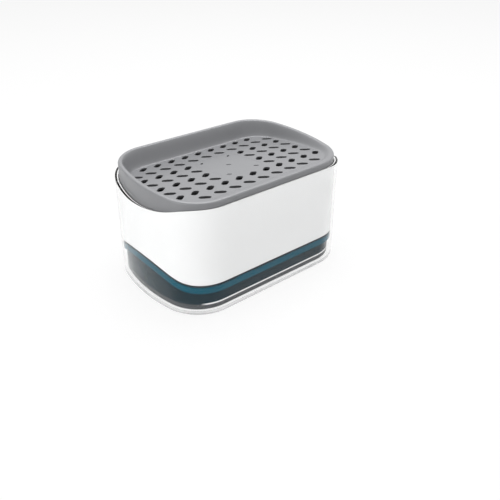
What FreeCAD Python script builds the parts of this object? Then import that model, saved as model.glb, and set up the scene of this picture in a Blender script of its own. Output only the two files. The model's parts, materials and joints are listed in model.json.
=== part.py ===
"""Soap pump caddy: a clear case with a tinted soap tub, a white pump insert and a press-down sponge tray."""
import FreeCAD, Part
import math
import os

V = FreeCAD.Vector
UP = V(0, 0, 1)

# Plan of the case, in millimetres: straight long sides, bowed ends, round corners
CASE_LENGTH = 150.0
CASE_WIDTH = 102.0
CORNER_R = 30.0
END_R = 127.0

# Clear case
RIM_Z = 75.7
END_DIP = 7.5
SWELL_MARGIN = 3.0
SWELL_TURN = 0.7
CASE_WALL = 1.4
CASE_FLOOR = 2.4
BASE_ROUND = 6.0
RIM_ROUND = 0.6
PAD_R = 5.0
PAD_H = 1.0
PAD_X = 45.0
PAD_Y = 25.0

# Anti-slip feet, let into the underside of the case
FOOT_R = 6.0
FOOT_STAND = 1.0
FOOT_SINK = 0.8
FOOT_X = 48.0
FOOT_Y = 27.0
FOOT_ROUND = 0.5

# Soap tub and the seal on its rim
TUB_RIM_Z = 21.4
TUB_WALL = 1.5
TUB_FLOOR = 1.8
TUB_ROUND = 5.0
TUB_STANDOFF = 1.8
BEAD_H = 5.0
EDGE_ARCH = 9.4
SEAL_H = 0.8
SEAL_W = 1.4

# White insert: a sleeve with a deck that carries the pump
SLEEVE_WALL = 0.8
SLEEVE_DROP = 0.6
DECK_UNDER_Z = 40.0
DECK_T = 2.0
VENT_R = 1.5
VENT_X = 30.0

# Pump: barrel, valve housing and inlet
BARREL_R = 11.0
BARREL_BORE_R = 9.0
BARREL_FLOOR_Z = 25.0
BARREL_FLOOR_T = 2.0
FLANGE_R = 18.6
FLANGE_T = 2.5
GASKET_T = 1.0
NECK_R = 12.0
NECK_H = 3.5
VALVE_R = 6.0
VALVE_H = 8.0
INLET_R = 2.2
INLET_BALL_R = 3.0
INLET_BALL_LIFT = 1.2
RETAINER_R = 6.5
RETAINER_T = 1.0
RETAINER_HOLE_R = 2.0
NOZZLE_R = 3.4
NOZZLE_H = 4.5
TUBE_WALL = 1.5
TUBE_CLEAR = 1.3
TUBE_NOTCH_W = 3.0
TUBE_NOTCH_H = 2.5
NUT_R = 16.0
NUT_H = 6.0
NUT_GRIPS = 12
NUT_GRIP_R = 1.6

# Pump: guide cap, stem, piston and head
PRESS_TRAVEL = 8.0
CAP_WALL = 1.9
CAP_T = 2.4
CAP_ROUND = 0.8
GUIDE_R = 7.8
STEM_R = 4.5
STEM_BORE_R = 1.8
STEM_SEAT = 3.0
PISTON_H = 6.0
PISTON_STEM_DEPTH = 4.5
PISTON_LAST_GAP = 0.5
SEAL_GROOVE_H = 2.0
SEAL_GROOVE_D = 1.5
HEAD_R = 18.6
HEAD_T = 4.0
HEAD_ROUND = 1.0
HUB_R = 7.0
HUB_H = 2.5
SPIGOT_R = 5.4
OUTLET_BALL_R = 2.3
OUTLET_BALL_LIFT = 1.4
OUTLET_BORE_R = 1.6
RING_WIRE_R = 0.75
RING_GROOVE_D = 1.1

# Return spring
SPRING_WIRE_R = 0.7
SPRING_MEAN_R = 16.3
SPRING_TURNS = 5
SPRING_QUARTERS = 4

# Sponge tray: a floor that falls to the back, a dished wall, a rim that rises to the back and a skirt
TRAY_FLOOR_Z = 74.4
TRAY_FLOOR_FALL = 4.6
TRAY_FLOOR_T = 1.8
TRAY_RIM_Z = 81.7
TRAY_RIM_RISE = 3.1
TRAY_RIM_WIDTH = 2.2
TRAY_RIM_ROUND = 1.2
TRAY_DISH_RUN = 5.0
TRAY_DISH_STEPS = 6
TRAY_SHELL_OUT = 1.2
TRAY_SKIRT_H = 10.6
TRAY_WALL = 1.8

# Drain slots of the tray, in rows that lean alternate ways
SLOT_END_MARGIN = 16.5
SLOT_SIDE_MARGIN = 14.775
SLOT_LENGTH = 7.7
SLOT_WIDTH = 4.1
SLOT_LEAN = 40.0
SLOT_COLUMNS = 5
SLOT_SHORT_COLUMNS = 4
SLOT_ROWS = 8
SLOT_CLEAR_COLUMNS = 1
SLOT_FULL_ROWS = 2

# Soap outlet plate in the middle of the tray
PLATE_END_GAP = 5.9
PLATE_SIDE_GAP = 5.875
PLATE_CORNER_R = 8.0
PLATE_T = 1.2
PLATE_LEDGE = 1.5
CHANNEL_H = 0.9
PAN_WALL = 1.6
PAN_FLOOR_T = 2.0
BOSS_R = 11.0
OUTLET_LENGTH = 3.6
OUTLET_WIDTH = 1.5
OUTLET_END = 5.8
OUTLET_SIDE = 4.475

# Clearances
SLIDE_GAP = 0.2
TRAY_GAP = 0.4
SEAT_GAP = 0.3
FIT_GAP = 0.05
RUN_GAP = 0.06
BALL_GAP = 0.06
SPRING_GAP = 0.1
SOCKET_GAP = 0.4
HOLE_GAP = 0.3

# Places that follow from the sizes above
CASE_BOTTOM_Z = FOOT_STAND
CASE_FLOOR_Z = CASE_BOTTOM_Z + CASE_FLOOR
TUB_BOTTOM_Z = CASE_FLOOR_Z + PAD_H
TUB_FLOOR_Z = TUB_BOTTOM_Z + TUB_FLOOR
SEAL_TOP_Z = TUB_RIM_Z + SEAL_H
SLEEVE_EDGE_Z = SEAL_TOP_Z + SEAT_GAP
DECK_Z = DECK_UNDER_Z + DECK_T
FLANGE_Z = DECK_Z + GASKET_T
FLANGE_TOP_Z = FLANGE_Z + FLANGE_T
NECK_TOP_Z = FLANGE_TOP_Z + NECK_H
BARREL_INNER_Z = BARREL_FLOOR_Z + BARREL_FLOOR_T
VALVE_Z = BARREL_FLOOR_Z - VALVE_H
INLET_SEAT_DEPTH = INLET_BALL_R + math.sqrt(INLET_BALL_R ** 2 - INLET_R ** 2) + INLET_BALL_LIFT + 2 * BALL_GAP
INLET_SEAT_Z = BARREL_INNER_Z - INLET_SEAT_DEPTH
CAP_UNDER_Z = NECK_TOP_Z + FIT_GAP
CAP_TOP_Z = CAP_UNDER_Z + CAP_T
PISTON_Z = BARREL_INNER_Z + RETAINER_T + PISTON_LAST_GAP + PRESS_TRAVEL
PISTON_TOP_Z = PISTON_Z + PISTON_H
STEM_Z = PISTON_TOP_Z - PISTON_STEM_DEPTH
FLOOR_SLOPE = -math.tan(math.radians(TRAY_FLOOR_FALL))
RIM_SLOPE = math.tan(math.radians(TRAY_RIM_RISE))
SLOT_PITCH_X = (CASE_LENGTH - 2 * SLOT_END_MARGIN) / (2 * SLOT_COLUMNS)
SLOT_PITCH_Y = (CASE_WIDTH - 2 * SLOT_SIDE_MARGIN) / (SLOT_ROWS - 1)
PLATE_LENGTH = 2 * ((SLOT_CLEAR_COLUMNS + 1) * SLOT_PITCH_X - PLATE_END_GAP)
PLATE_WIDTH = (SLOT_ROWS - 2 * SLOT_FULL_ROWS + 1) * SLOT_PITCH_Y - 2 * PLATE_SIDE_GAP
TRAY_SKIRT_Z = TRAY_FLOOR_Z - TRAY_FLOOR_T - TRAY_SKIRT_H
PLATE_UNDER_Z = TRAY_FLOOR_Z - PLATE_T
PAN_Z = PLATE_UNDER_Z + FLOOR_SLOPE * PLATE_WIDTH / 2 - CHANNEL_H
PAN_UNDER_Z = PAN_Z - PAN_FLOOR_T
HEAD_TOP_Z = PAN_UNDER_Z - PAN_WALL
HEAD_Z = HEAD_TOP_Z - HEAD_T
HUB_Z = HEAD_Z - HUB_H
STEM_TOP_Z = HUB_Z + STEM_SEAT
SPIGOT_TOP_Z = PAN_Z

# Insets from the outer plan of the case to each wall
SLEEVE_INSET = CASE_WALL + SLIDE_GAP
SLEEVE_INNER = SLEEVE_INSET + SLEEVE_WALL
TUB_INSET = SLEEVE_INSET + TUB_STANDOFF
TUB_INNER = TUB_INSET + TUB_WALL
TRAY_INSET = SLEEVE_INNER + TRAY_GAP
TRAY_INNER = TRAY_INSET + TRAY_WALL

# Working sizes for cutting tools
BEYOND = 20.0
FAR_X = CASE_LENGTH
FAR_Y = CASE_WIDTH
FAR_Z = 2 * RIM_Z
SWELL_HALF = CASE_WIDTH / 2 - SWELL_MARGIN
TOUCH = 0.001


def save(shape, node):
    """Write one piece to its own file."""
    shape.exportStep("parts/" + node + ".step")


def arc(start, middle, end):
    return Part.Arc(start, middle, end).toShape()


def line(start, end):
    return Part.LineSegment(start, end).toShape()


def outline(inset, z):
    """Closed plan of the case, drawn in by an inset."""
    half_width = CASE_WIDTH / 2 - inset
    end_r = END_R - inset
    corner_r = CORNER_R - inset
    end_x = CASE_LENGTH / 2 - END_R
    reach = END_R - CORNER_R
    corner_y = CASE_WIDTH / 2 - CORNER_R
    corner_x = end_x + math.sqrt(reach ** 2 - corner_y ** 2)
    turn = math.atan2(corner_y, corner_x - end_x)
    middle = (turn + math.pi / 2) / 2

    def end_point(angle, side, flip):
        return V(side * (end_x + end_r * math.cos(angle)), flip * end_r * math.sin(angle), z)

    def corner_point(angle, side, flip):
        x = corner_x + corner_r * math.cos(angle)
        y = corner_y + corner_r * math.sin(angle)
        return V(side * x, flip * y, z)

    edges = []
    for side in (1, -1):
        edges.append(arc(end_point(turn, side, -side), end_point(0, side, 1), end_point(turn, side, side)))
        edges.append(arc(end_point(turn, side, side), corner_point(middle, side, side),
                         V(side * corner_x, side * half_width, z)))
        edges.append(line(V(side * corner_x, side * half_width, z),
                          V(-side * corner_x, side * half_width, z)))
        edges.append(arc(V(-side * corner_x, side * half_width, z), corner_point(middle, -side, side),
                         end_point(turn, -side, side)))
    return Part.Wire(edges)


def prism(inset, low, high):
    """Solid of the case's plan, drawn in by an inset, between two heights."""
    return Part.Face(outline(inset, low)).extrude(UP * (high - low))


def ring(outer_inset, inner_inset, low, high):
    return prism(outer_inset, low, high).cut(prism(inner_inset, low - TOUCH, high + TOUCH))


def level_edges(shape, z):
    """Edges of a shape that lie at one height."""
    return [e for e in shape.Edges if abs(e.BoundBox.ZMin - z) < TOUCH and abs(e.BoundBox.ZMax - z) < TOUCH]


def rim_edges(shape, low, high):
    """Edges that run round a rim, between two heights, without the upright ones."""
    found = []
    for edge in shape.Edges:
        box = edge.BoundBox
        level = max(box.XLength, box.YLength)
        if box.ZMin > low - TOUCH and box.ZMax < high + TOUCH and level > box.ZLength:
            found.append(edge)
    return found


def tube(outer_r, inner_r, low, high):
    body = Part.makeCylinder(outer_r, high - low, V(0, 0, low))
    return body.cut(bore(inner_r, low, high))


def bore(radius, low, high):
    """Cutting tool for a hole on the pump's axis."""
    return Part.makeCylinder(radius, high - low + 2 * TOUCH, V(0, 0, low - TOUCH))


def swell(base, rise):
    """Edge line seen from the end of the case: level at the sides, with a smooth swell of a given rise."""
    half = SWELL_HALF
    radius = (1 - SWELL_TURN) * (half ** 2 + rise ** 2) / (2 * abs(rise))
    sign = math.copysign(1, rise)
    angle = 2 * math.atan(abs(rise) / half)

    def foot(part, side):
        y = half - radius * math.sin(part * angle)
        z = base + sign * radius * (1 - math.cos(part * angle))
        return V(0, side * y, z)

    return [
        line(V(0, -FAR_Y, base), foot(0, -1)),
        arc(foot(0, -1), foot(0.5, -1), foot(1, -1)),
        arc(foot(1, -1), V(0, 0, base + rise), foot(1, 1)),
        arc(foot(1, 1), foot(0.5, 1), foot(0, 1)),
        line(foot(0, 1), V(0, FAR_Y, base)),
    ]


def swell_side(base, rise, limit):
    """Solid on one side of a swelling edge line, up or down to a limit, along the whole case."""
    edges = swell(base, rise)
    edges.append(line(V(0, FAR_Y, base), V(0, FAR_Y, limit)))
    edges.append(line(V(0, FAR_Y, limit), V(0, -FAR_Y, limit)))
    edges.append(line(V(0, -FAR_Y, limit), V(0, -FAR_Y, base)))
    face = Part.Face(Part.Wire(edges))
    face.translate(V(-FAR_X, 0, 0))
    return face.extrude(V(2 * FAR_X, 0, 0))


def rounded_block(length, width, corner_r, low, high):
    block = Part.makeBox(length, width, high - low, V(-length / 2, -width / 2, low))
    uprights = [e for e in block.Edges if e.BoundBox.ZLength > (high - low) / 2]
    return block.makeFillet(corner_r, uprights)


def slot(x, y, lean, length, width, low, high):
    """Round-ended slot, turned in plan."""
    half = (length - width) / 2
    radius = width / 2
    edges = [
        line(V(-half, -radius, low), V(half, -radius, low)),
        arc(V(half, -radius, low), V(half + radius, 0, low), V(half, radius, low)),
        line(V(half, radius, low), V(-half, radius, low)),
        arc(V(-half, radius, low), V(-half - radius, 0, low), V(-half, -radius, low)),
    ]
    shape = Part.Face(Part.Wire(edges)).extrude(UP * (high - low))
    shape.rotate(V(0, 0, 0), UP, lean)
    shape.translate(V(x, y, 0))
    return shape


def four_places(x, y):
    return [(sx * x, sy * y) for sx in (-1, 1) for sy in (-1, 1)]


def clear_case():
    """Open clear case with a rounded base, rim dips at both ends and pads that carry the tub."""
    outer = prism(0, CASE_BOTTOM_Z, RIM_Z)
    outer = outer.makeFillet(BASE_ROUND, level_edges(outer, CASE_BOTTOM_Z))
    inner = prism(CASE_WALL, CASE_FLOOR_Z, RIM_Z + BEYOND)
    inner = inner.makeFillet(BASE_ROUND - CASE_WALL, level_edges(inner, CASE_FLOOR_Z))
    case = outer.cut(inner).cut(swell_side(RIM_Z, -END_DIP, FAR_Z))
    case = case.makeFillet(RIM_ROUND, rim_edges(case, RIM_Z - END_DIP, RIM_Z))
    for x, y in four_places(PAD_X, PAD_Y):
        low = CASE_FLOOR_Z - CASE_FLOOR / 2
        case = case.fuse(Part.makeCylinder(PAD_R, TUB_BOTTOM_Z - low, V(x, y, low)))
    for x, y in four_places(FOOT_X, FOOT_Y):
        low = CASE_BOTTOM_Z - BEYOND
        case = case.cut(Part.makeCylinder(FOOT_R + FIT_GAP, BEYOND + FOOT_SINK, V(x, y, low)))
    return case.removeSplitter()


def anti_slip_feet():
    """Four soft discs, each seated in its recess."""
    feet = []
    for x, y in four_places(FOOT_X, FOOT_Y):
        foot = Part.makeCylinder(FOOT_R, FOOT_STAND + FOOT_SINK, V(x, y, 0))
        feet.append(foot.makeFillet(FOOT_ROUND, level_edges(foot, 0)))
    return Part.makeCompound(feet)


def soap_tub():
    """Tinted tub with a thick rim that arches up at both ends."""
    top = TUB_RIM_Z + EDGE_ARCH
    wall = prism(TUB_INSET, TUB_BOTTOM_Z, top + BEYOND)
    wall = wall.makeFillet(TUB_ROUND, level_edges(wall, TUB_BOTTOM_Z))
    bead = prism(SLEEVE_INSET, TUB_BOTTOM_Z, top + BEYOND)
    bead = bead.cut(swell_side(TUB_RIM_Z - BEAD_H, EDGE_ARCH, -BEYOND))
    hollow = prism(TUB_INNER, TUB_FLOOR_Z, top + 2 * BEYOND)
    hollow = hollow.makeFillet(TUB_ROUND - TUB_WALL, level_edges(hollow, TUB_FLOOR_Z))
    tub = wall.fuse(bead).cut(hollow).cut(swell_side(TUB_RIM_Z, EDGE_ARCH, FAR_Z))
    return tub.removeSplitter()


def tub_seal():
    """Soft seal that follows the tub's rim."""
    seal = ring(SLEEVE_INSET, SLEEVE_INSET + SEAL_W, TUB_BOTTOM_Z, SEAL_TOP_Z + EDGE_ARCH)
    seal = seal.cut(swell_side(TUB_RIM_Z, EDGE_ARCH, -BEYOND))
    return seal.cut(swell_side(SEAL_TOP_Z, EDGE_ARCH, FAR_Z))


def white_sleeve():
    """White sleeve inside the clear wall, with the deck that the pump hangs from."""
    sleeve = ring(SLEEVE_INSET, SLEEVE_INNER, TUB_BOTTOM_Z, RIM_Z)
    sleeve = sleeve.cut(swell_side(SLEEVE_EDGE_Z, EDGE_ARCH, -BEYOND))
    sleeve = sleeve.cut(swell_side(RIM_Z - SLEEVE_DROP, -END_DIP, FAR_Z))
    deck = prism(SLEEVE_INNER - SLEEVE_WALL / 2, DECK_UNDER_Z, DECK_Z)
    deck = deck.cut(bore(BARREL_R + HOLE_GAP, DECK_UNDER_Z, DECK_Z))
    for x in (-VENT_X, VENT_X):
        deck = deck.cut(Part.makeCylinder(VENT_R, DECK_T + 2 * TOUCH, V(x, 0, DECK_UNDER_Z - TOUCH)))
    return sleeve.fuse(deck).removeSplitter()


def deck_gasket():
    return tube(FLANGE_R, BARREL_R + HOLE_GAP, DECK_Z, FLANGE_Z)


def pump_barrel():
    """Barrel with a flange on the deck, a neck for the cap and the inlet valve's housing below."""
    barrel = Part.makeCylinder(BARREL_R, NECK_TOP_Z - BARREL_FLOOR_Z, V(0, 0, BARREL_FLOOR_Z))
    barrel = barrel.fuse(Part.makeCylinder(FLANGE_R, FLANGE_T, V(0, 0, FLANGE_Z)))
    barrel = barrel.fuse(Part.makeCylinder(NECK_R, NECK_H, V(0, 0, FLANGE_TOP_Z)))
    barrel = barrel.fuse(Part.makeCylinder(VALVE_R, VALVE_H, V(0, 0, VALVE_Z)))
    barrel = barrel.fuse(Part.makeCylinder(NOZZLE_R, NOZZLE_H, V(0, 0, VALVE_Z - NOZZLE_H)))
    barrel = barrel.cut(bore(BARREL_BORE_R, BARREL_INNER_Z, NECK_TOP_Z))
    barrel = barrel.cut(bore(INLET_BALL_R + HOLE_GAP, INLET_SEAT_Z, BARREL_INNER_Z))
    barrel = barrel.cut(bore(INLET_R, VALVE_Z - NOZZLE_H, INLET_SEAT_Z))
    return barrel.removeSplitter()


def ring_nut():
    """Clamp nut under the deck, with finger grips round its rim."""
    nut = tube(NUT_R, BARREL_R + FIT_GAP, DECK_UNDER_Z - NUT_H, DECK_UNDER_Z)
    for k in range(NUT_GRIPS):
        angle = 2 * math.pi * k / NUT_GRIPS
        place = V(NUT_R * math.cos(angle), NUT_R * math.sin(angle), DECK_UNDER_Z - NUT_H - TOUCH)
        nut = nut.cut(Part.makeCylinder(NUT_GRIP_R, NUT_H + 2 * TOUCH, place))
    return nut


def inlet_tube():
    """Short inlet tube pushed on the nozzle, notched where it stands near the tub's floor."""
    low = TUB_FLOOR_Z + TUBE_CLEAR
    inner_r = NOZZLE_R + FIT_GAP
    outer_r = inner_r + TUBE_WALL
    body = tube(outer_r, inner_r, low, VALVE_Z)
    for length, width in ((BEYOND, TUBE_NOTCH_W), (TUBE_NOTCH_W, BEYOND)):
        notch = Part.makeBox(length, width, 2 * TUBE_NOTCH_H, V(-length / 2, -width / 2, low - TUBE_NOTCH_H))
        body = body.cut(notch)
    return body


def ball_rest(radius, hole_r, seat_z):
    """Height of a ball's middle when it lies on the edge of a hole."""
    return seat_z + math.sqrt(radius ** 2 - hole_r ** 2) + BALL_GAP


def inlet_ball():
    return Part.makeSphere(INLET_BALL_R, V(0, 0, ball_rest(INLET_BALL_R, INLET_R, INLET_SEAT_Z)))


def ball_retainer():
    return tube(RETAINER_R, RETAINER_HOLE_R, BARREL_INNER_Z, BARREL_INNER_Z + RETAINER_T)


def guide_cap():
    """Screw cap on the barrel's neck, whose inner tube guides the stem and stops the piston."""
    outer_r = NECK_R + FIT_GAP + CAP_WALL
    cap = Part.makeCylinder(outer_r, CAP_TOP_Z - FLANGE_TOP_Z, V(0, 0, FLANGE_TOP_Z))
    cap = cap.cut(bore(NECK_R + FIT_GAP, FLANGE_TOP_Z, CAP_UNDER_Z))
    low = PISTON_TOP_Z + SEAT_GAP
    cap = cap.fuse(Part.makeCylinder(GUIDE_R, CAP_UNDER_Z - low + TOUCH, V(0, 0, low)))
    cap = cap.cut(bore(STEM_R + RUN_GAP, low, CAP_TOP_Z))
    return cap.makeFillet(CAP_ROUND, [e for e in level_edges(cap, CAP_TOP_Z) if e.Curve.Radius > GUIDE_R])


def pump_stem():
    return tube(STEM_R, STEM_BORE_R, STEM_Z, STEM_TOP_Z)


def groove_z():
    """Lower side of the piston's seal groove."""
    return PISTON_Z + (PISTON_H - SEAL_GROOVE_H) / 2


def piston():
    body = tube(BARREL_BORE_R - RUN_GAP, STEM_R + FIT_GAP, STEM_Z, PISTON_TOP_Z)
    body = body.fuse(tube(BARREL_BORE_R - RUN_GAP, STEM_BORE_R, PISTON_Z, STEM_Z))
    groove_r = BARREL_BORE_R - SEAL_GROOVE_D
    groove = tube(BARREL_BORE_R, groove_r, groove_z(), groove_z() + SEAL_GROOVE_H)
    return body.cut(groove).removeSplitter()


def piston_seal():
    groove_r = BARREL_BORE_R - SEAL_GROOVE_D
    return tube(BARREL_BORE_R - RUN_GAP / 2, groove_r + FIT_GAP, groove_z(), groove_z() + SEAL_GROOVE_H)


def ring_z():
    """Middle height of the ring in the spigot's groove."""
    return PAN_UNDER_Z


def pump_head():
    """Round head that carries the tray, with a hub on the stem and a spigot that holds the outlet valve."""
    head = Part.makeCylinder(HEAD_R, HEAD_T, V(0, 0, HEAD_Z))
    head = head.makeFillet(HEAD_ROUND, level_edges(head, HEAD_TOP_Z))
    head = head.fuse(Part.makeCylinder(HUB_R, HUB_H, V(0, 0, HUB_Z)))
    head = head.fuse(Part.makeCylinder(SPIGOT_R, SPIGOT_TOP_Z - HEAD_TOP_Z, V(0, 0, HEAD_TOP_Z)))
    head = head.cut(bore(STEM_R + FIT_GAP, HUB_Z, STEM_TOP_Z))
    rest = ball_rest(OUTLET_BALL_R, STEM_BORE_R, STEM_TOP_Z)
    chamber_top = rest + OUTLET_BALL_R + OUTLET_BALL_LIFT + BALL_GAP
    head = head.cut(bore(OUTLET_BALL_R + HOLE_GAP, STEM_TOP_Z, chamber_top))
    head = head.cut(bore(OUTLET_BORE_R, chamber_top, SPIGOT_TOP_Z))
    middle = SPIGOT_R - RING_GROOVE_D + RING_WIRE_R
    head = head.cut(Part.makeTorus(middle, RING_WIRE_R + FIT_GAP, V(0, 0, ring_z())))
    return head.removeSplitter()


def spigot_ring():
    """Soft ring in the spigot's groove, which seals against the tray's socket."""
    return Part.makeTorus(SPIGOT_R - RING_GROOVE_D + RING_WIRE_R, RING_WIRE_R, V(0, 0, ring_z()))


def outlet_ball():
    return Part.makeSphere(OUTLET_BALL_R, V(0, 0, ball_rest(OUTLET_BALL_R, STEM_BORE_R, STEM_TOP_Z)))


def two_arcs(start, start_way, end, end_way):
    """Pair of arcs that leave and arrive along given directions."""
    span = end - start
    both = start_way + end_way
    square = both.dot(both) - 4
    cross = span.dot(both)
    reach = (cross - math.sqrt(cross ** 2 - square * span.dot(span))) / square
    first = start + start_way * reach
    last = end - end_way * reach
    join = (first + last) * 0.5

    def bowed(a, apex, b):
        middle = (a + b) * 0.5
        half = (b - a).Length / 2
        bow = half * math.tan(math.acos(min(1, half / (apex - a).Length)) / 2)
        return arc(a, middle + (apex - middle).normalize() * bow, b)

    return [bowed(start, first, join), bowed(join, last, end)]


def return_spring():
    """Coil between the barrel's flange and the head, one unbroken round wire."""
    low = FLANGE_TOP_Z + SPRING_GAP + SPRING_WIRE_R
    high = HEAD_Z - SPRING_GAP - SPRING_WIRE_R
    steps = SPRING_TURNS * SPRING_QUARTERS
    pitch = (high - low) / SPRING_TURNS

    def point(turn):
        angle = 2 * math.pi * turn
        return V(SPRING_MEAN_R * math.cos(angle), SPRING_MEAN_R * math.sin(angle), low + pitch * turn)

    def way(turn):
        angle = 2 * math.pi * turn
        around = 2 * math.pi * SPRING_MEAN_R
        return V(-around * math.sin(angle), around * math.cos(angle), pitch).normalize()

    edges = []
    for k in range(steps):
        here = k / SPRING_QUARTERS
        there = (k + 1) / SPRING_QUARTERS
        edges += two_arcs(point(here), way(here), point(there), way(there))
    path = Part.Wire(edges)
    profile = Part.Wire([Part.Circle(point(0), way(0), SPRING_WIRE_R).toShape()])
    sweep = Part.BRepOffsetAPI.MakePipeShell(path)
    sweep.add(profile)
    sweep.build()
    sweep.makeSolid()
    checks = SPRING_TURNS * SPRING_QUARTERS * SPRING_QUARTERS
    turns = [SPRING_TURNS * k / checks for k in range(checks + 1)]
    gaps = [(point(a) - point(b)).Length for a in turns for b in turns if b - a >= 0.5]
    print("return_spring least gap to itself %.2f mm" % (min(gaps) - 2 * SPRING_WIRE_R))
    return sweep.shape()


def leaning(inset, z, slope):
    """Plan of the case, drawn in by an inset and laid on a plane that climbs to the back."""
    lean = FreeCAD.Matrix()
    lean.A32 = slope
    return Part.Wire(outline(inset, z).transformGeometry(lean).Edges)


def lean_side(z, slope, limit):
    """Solid on one side of a plane that climbs to the back, up or down to a limit."""
    points = [
        V(-FAR_X, -FAR_Y, z - FAR_Y * slope),
        V(-FAR_X, FAR_Y, z + FAR_Y * slope),
        V(-FAR_X, FAR_Y, limit),
        V(-FAR_X, -FAR_Y, limit),
    ]
    return Part.Face(Part.makePolygon(points + points[:1])).extrude(V(2 * FAR_X, 0, 0))


def dish(out, down):
    """Space of the tray's dish between floor and rim, moved outwards and down for its underside."""
    sections = []
    for step in range(TRAY_DISH_STEPS + 1):
        part = step / TRAY_DISH_STEPS
        climb = (1 - math.cos(math.pi * part)) / 2
        inset = TRAY_INSET + TRAY_RIM_WIDTH + TRAY_DISH_RUN * (1 - part) - out
        z = TRAY_FLOOR_Z + (TRAY_RIM_Z - TRAY_FLOOR_Z) * climb - down
        sections.append(leaning(inset, z, FLOOR_SLOPE + (RIM_SLOPE - FLOOR_SLOPE) * climb))
    return Part.makeLoft(sections, True)


def drain_slots():
    """Tools for the drain slots: full rows front and back, and rows beside the smooth middle."""
    tools = []
    for row in range(SLOT_ROWS):
        y = ((SLOT_ROWS - 1) / 2 - row) * SLOT_PITCH_Y
        z = TRAY_FLOOR_Z + FLOOR_SLOPE * y
        lean = SLOT_LEAN if row % 2 == 0 else -SLOT_LEAN
        from_edge = min(row, SLOT_ROWS - 1 - row)
        reach = SLOT_SHORT_COLUMNS if from_edge == 0 else SLOT_COLUMNS
        for column in range(-reach, reach + 1):
            if from_edge >= SLOT_FULL_ROWS and abs(column) <= SLOT_CLEAR_COLUMNS:
                continue
            tools.append(slot(column * SLOT_PITCH_X, y, lean, SLOT_LENGTH, SLOT_WIDTH,
                              z - 2 * TRAY_FLOOR_T, z + 2 * TRAY_FLOOR_T))
    return tools


def plate_block(grow, low):
    """Upright block of the outlet plate's plan, grown all round, from a height up past the tray."""
    return rounded_block(PLATE_LENGTH + 2 * grow, PLATE_WIDTH + 2 * grow, PLATE_CORNER_R + grow, low, FAR_Z)


def sponge_tray():
    """Press tray: slotted floor, dished wall, rounded rim, a skirt and a pan for the soap outlet."""
    tray = prism(TRAY_INSET, TRAY_SKIRT_Z, FAR_Z).cut(lean_side(TRAY_RIM_Z, RIM_SLOPE, 2 * FAR_Z))
    tray = tray.makeFillet(TRAY_RIM_ROUND, rim_edges(tray, TRAY_FLOOR_Z, FAR_Z))
    hollow = prism(TRAY_INNER, TRAY_SKIRT_Z - BEYOND, FAR_Z)
    hollow = hollow.cut(lean_side(TRAY_RIM_Z - TRAY_FLOOR_T, RIM_SLOPE, 2 * FAR_Z))
    hollow = hollow.cut(dish(TRAY_SHELL_OUT, TRAY_FLOOR_T))
    tray = tray.cut(dish(0, 0)).cut(hollow)
    pan = plate_block(PAN_WALL, PAN_UNDER_Z)
    pan = pan.cut(lean_side(TRAY_FLOOR_Z - TRAY_FLOOR_T / 2, FLOOR_SLOPE, 2 * FAR_Z))
    pan = pan.fuse(Part.makeCylinder(BOSS_R, PAN_UNDER_Z - HEAD_TOP_Z + TOUCH, V(0, 0, HEAD_TOP_Z)))
    tray = tray.fuse(pan)
    tray = tray.cut(plate_block(FIT_GAP, PAN_Z).cut(lean_side(PLATE_UNDER_Z, FLOOR_SLOPE, -BEYOND)))
    tray = tray.cut(plate_block(-PLATE_LEDGE, PAN_Z))
    tray = tray.cut(bore(SPIGOT_R + SOCKET_GAP, HEAD_TOP_Z, PAN_Z))
    return tray.cut(drain_slots()).removeSplitter()


def outlet_plate():
    """Smooth plate flush with the tray's floor, with small outlets on the grid of the drain slots."""
    plate = plate_block(0, PAN_Z).cut(lean_side(TRAY_FLOOR_Z, FLOOR_SLOPE, 2 * FAR_Z))
    plate = plate.cut(lean_side(PLATE_UNDER_Z, FLOOR_SLOPE, -BEYOND))
    places = four_places(PLATE_LENGTH / 2 - OUTLET_END, PLATE_WIDTH / 2 - OUTLET_SIDE)
    for x, y in places + [(0, 0)]:
        lean = SLOT_LEAN if y > 0 else -SLOT_LEAN
        plate = plate.cut(slot(x, y, lean, OUTLET_LENGTH, OUTLET_WIDTH, PAN_Z, FAR_Z))
    return plate


PIECES = (clear_case, anti_slip_feet, soap_tub, tub_seal, white_sleeve, deck_gasket, pump_barrel, ring_nut,
          inlet_tube, inlet_ball, ball_retainer, guide_cap, return_spring, pump_stem, piston, piston_seal,
          pump_head, spigot_ring, outlet_ball, sponge_tray, outlet_plate)

os.makedirs("parts", exist_ok=True)
for piece in PIECES:
    save(piece(), piece.__name__)
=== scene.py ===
"""Soap pump caddy on its CAD frame: clear case, smoked tub, white pump insert and grey press tray."""
import bmesh
import bpy
import json
import math
from bpy.props import FloatProperty, FloatVectorProperty, IntProperty, PointerProperty
from mathutils import Matrix, Vector


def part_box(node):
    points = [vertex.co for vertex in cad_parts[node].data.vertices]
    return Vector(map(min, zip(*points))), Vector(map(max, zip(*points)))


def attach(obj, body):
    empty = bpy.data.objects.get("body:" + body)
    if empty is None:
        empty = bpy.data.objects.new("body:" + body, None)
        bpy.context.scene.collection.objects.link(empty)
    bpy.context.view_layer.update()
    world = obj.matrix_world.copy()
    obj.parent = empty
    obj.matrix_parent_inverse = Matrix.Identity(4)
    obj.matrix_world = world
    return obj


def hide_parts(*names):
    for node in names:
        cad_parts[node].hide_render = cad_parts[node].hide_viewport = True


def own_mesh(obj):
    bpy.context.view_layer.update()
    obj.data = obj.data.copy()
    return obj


bl_info = {
    "name": "Soap Pump Caddy",
    "version": (1, 0, 0),
    "blender": (4, 5, 0),
    "location": "View3D > Sidebar > Caddy",
    "description": "Models a soap pump caddy with a press-down sponge tray on its CAD frame",
    "category": "Object",
}

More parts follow.
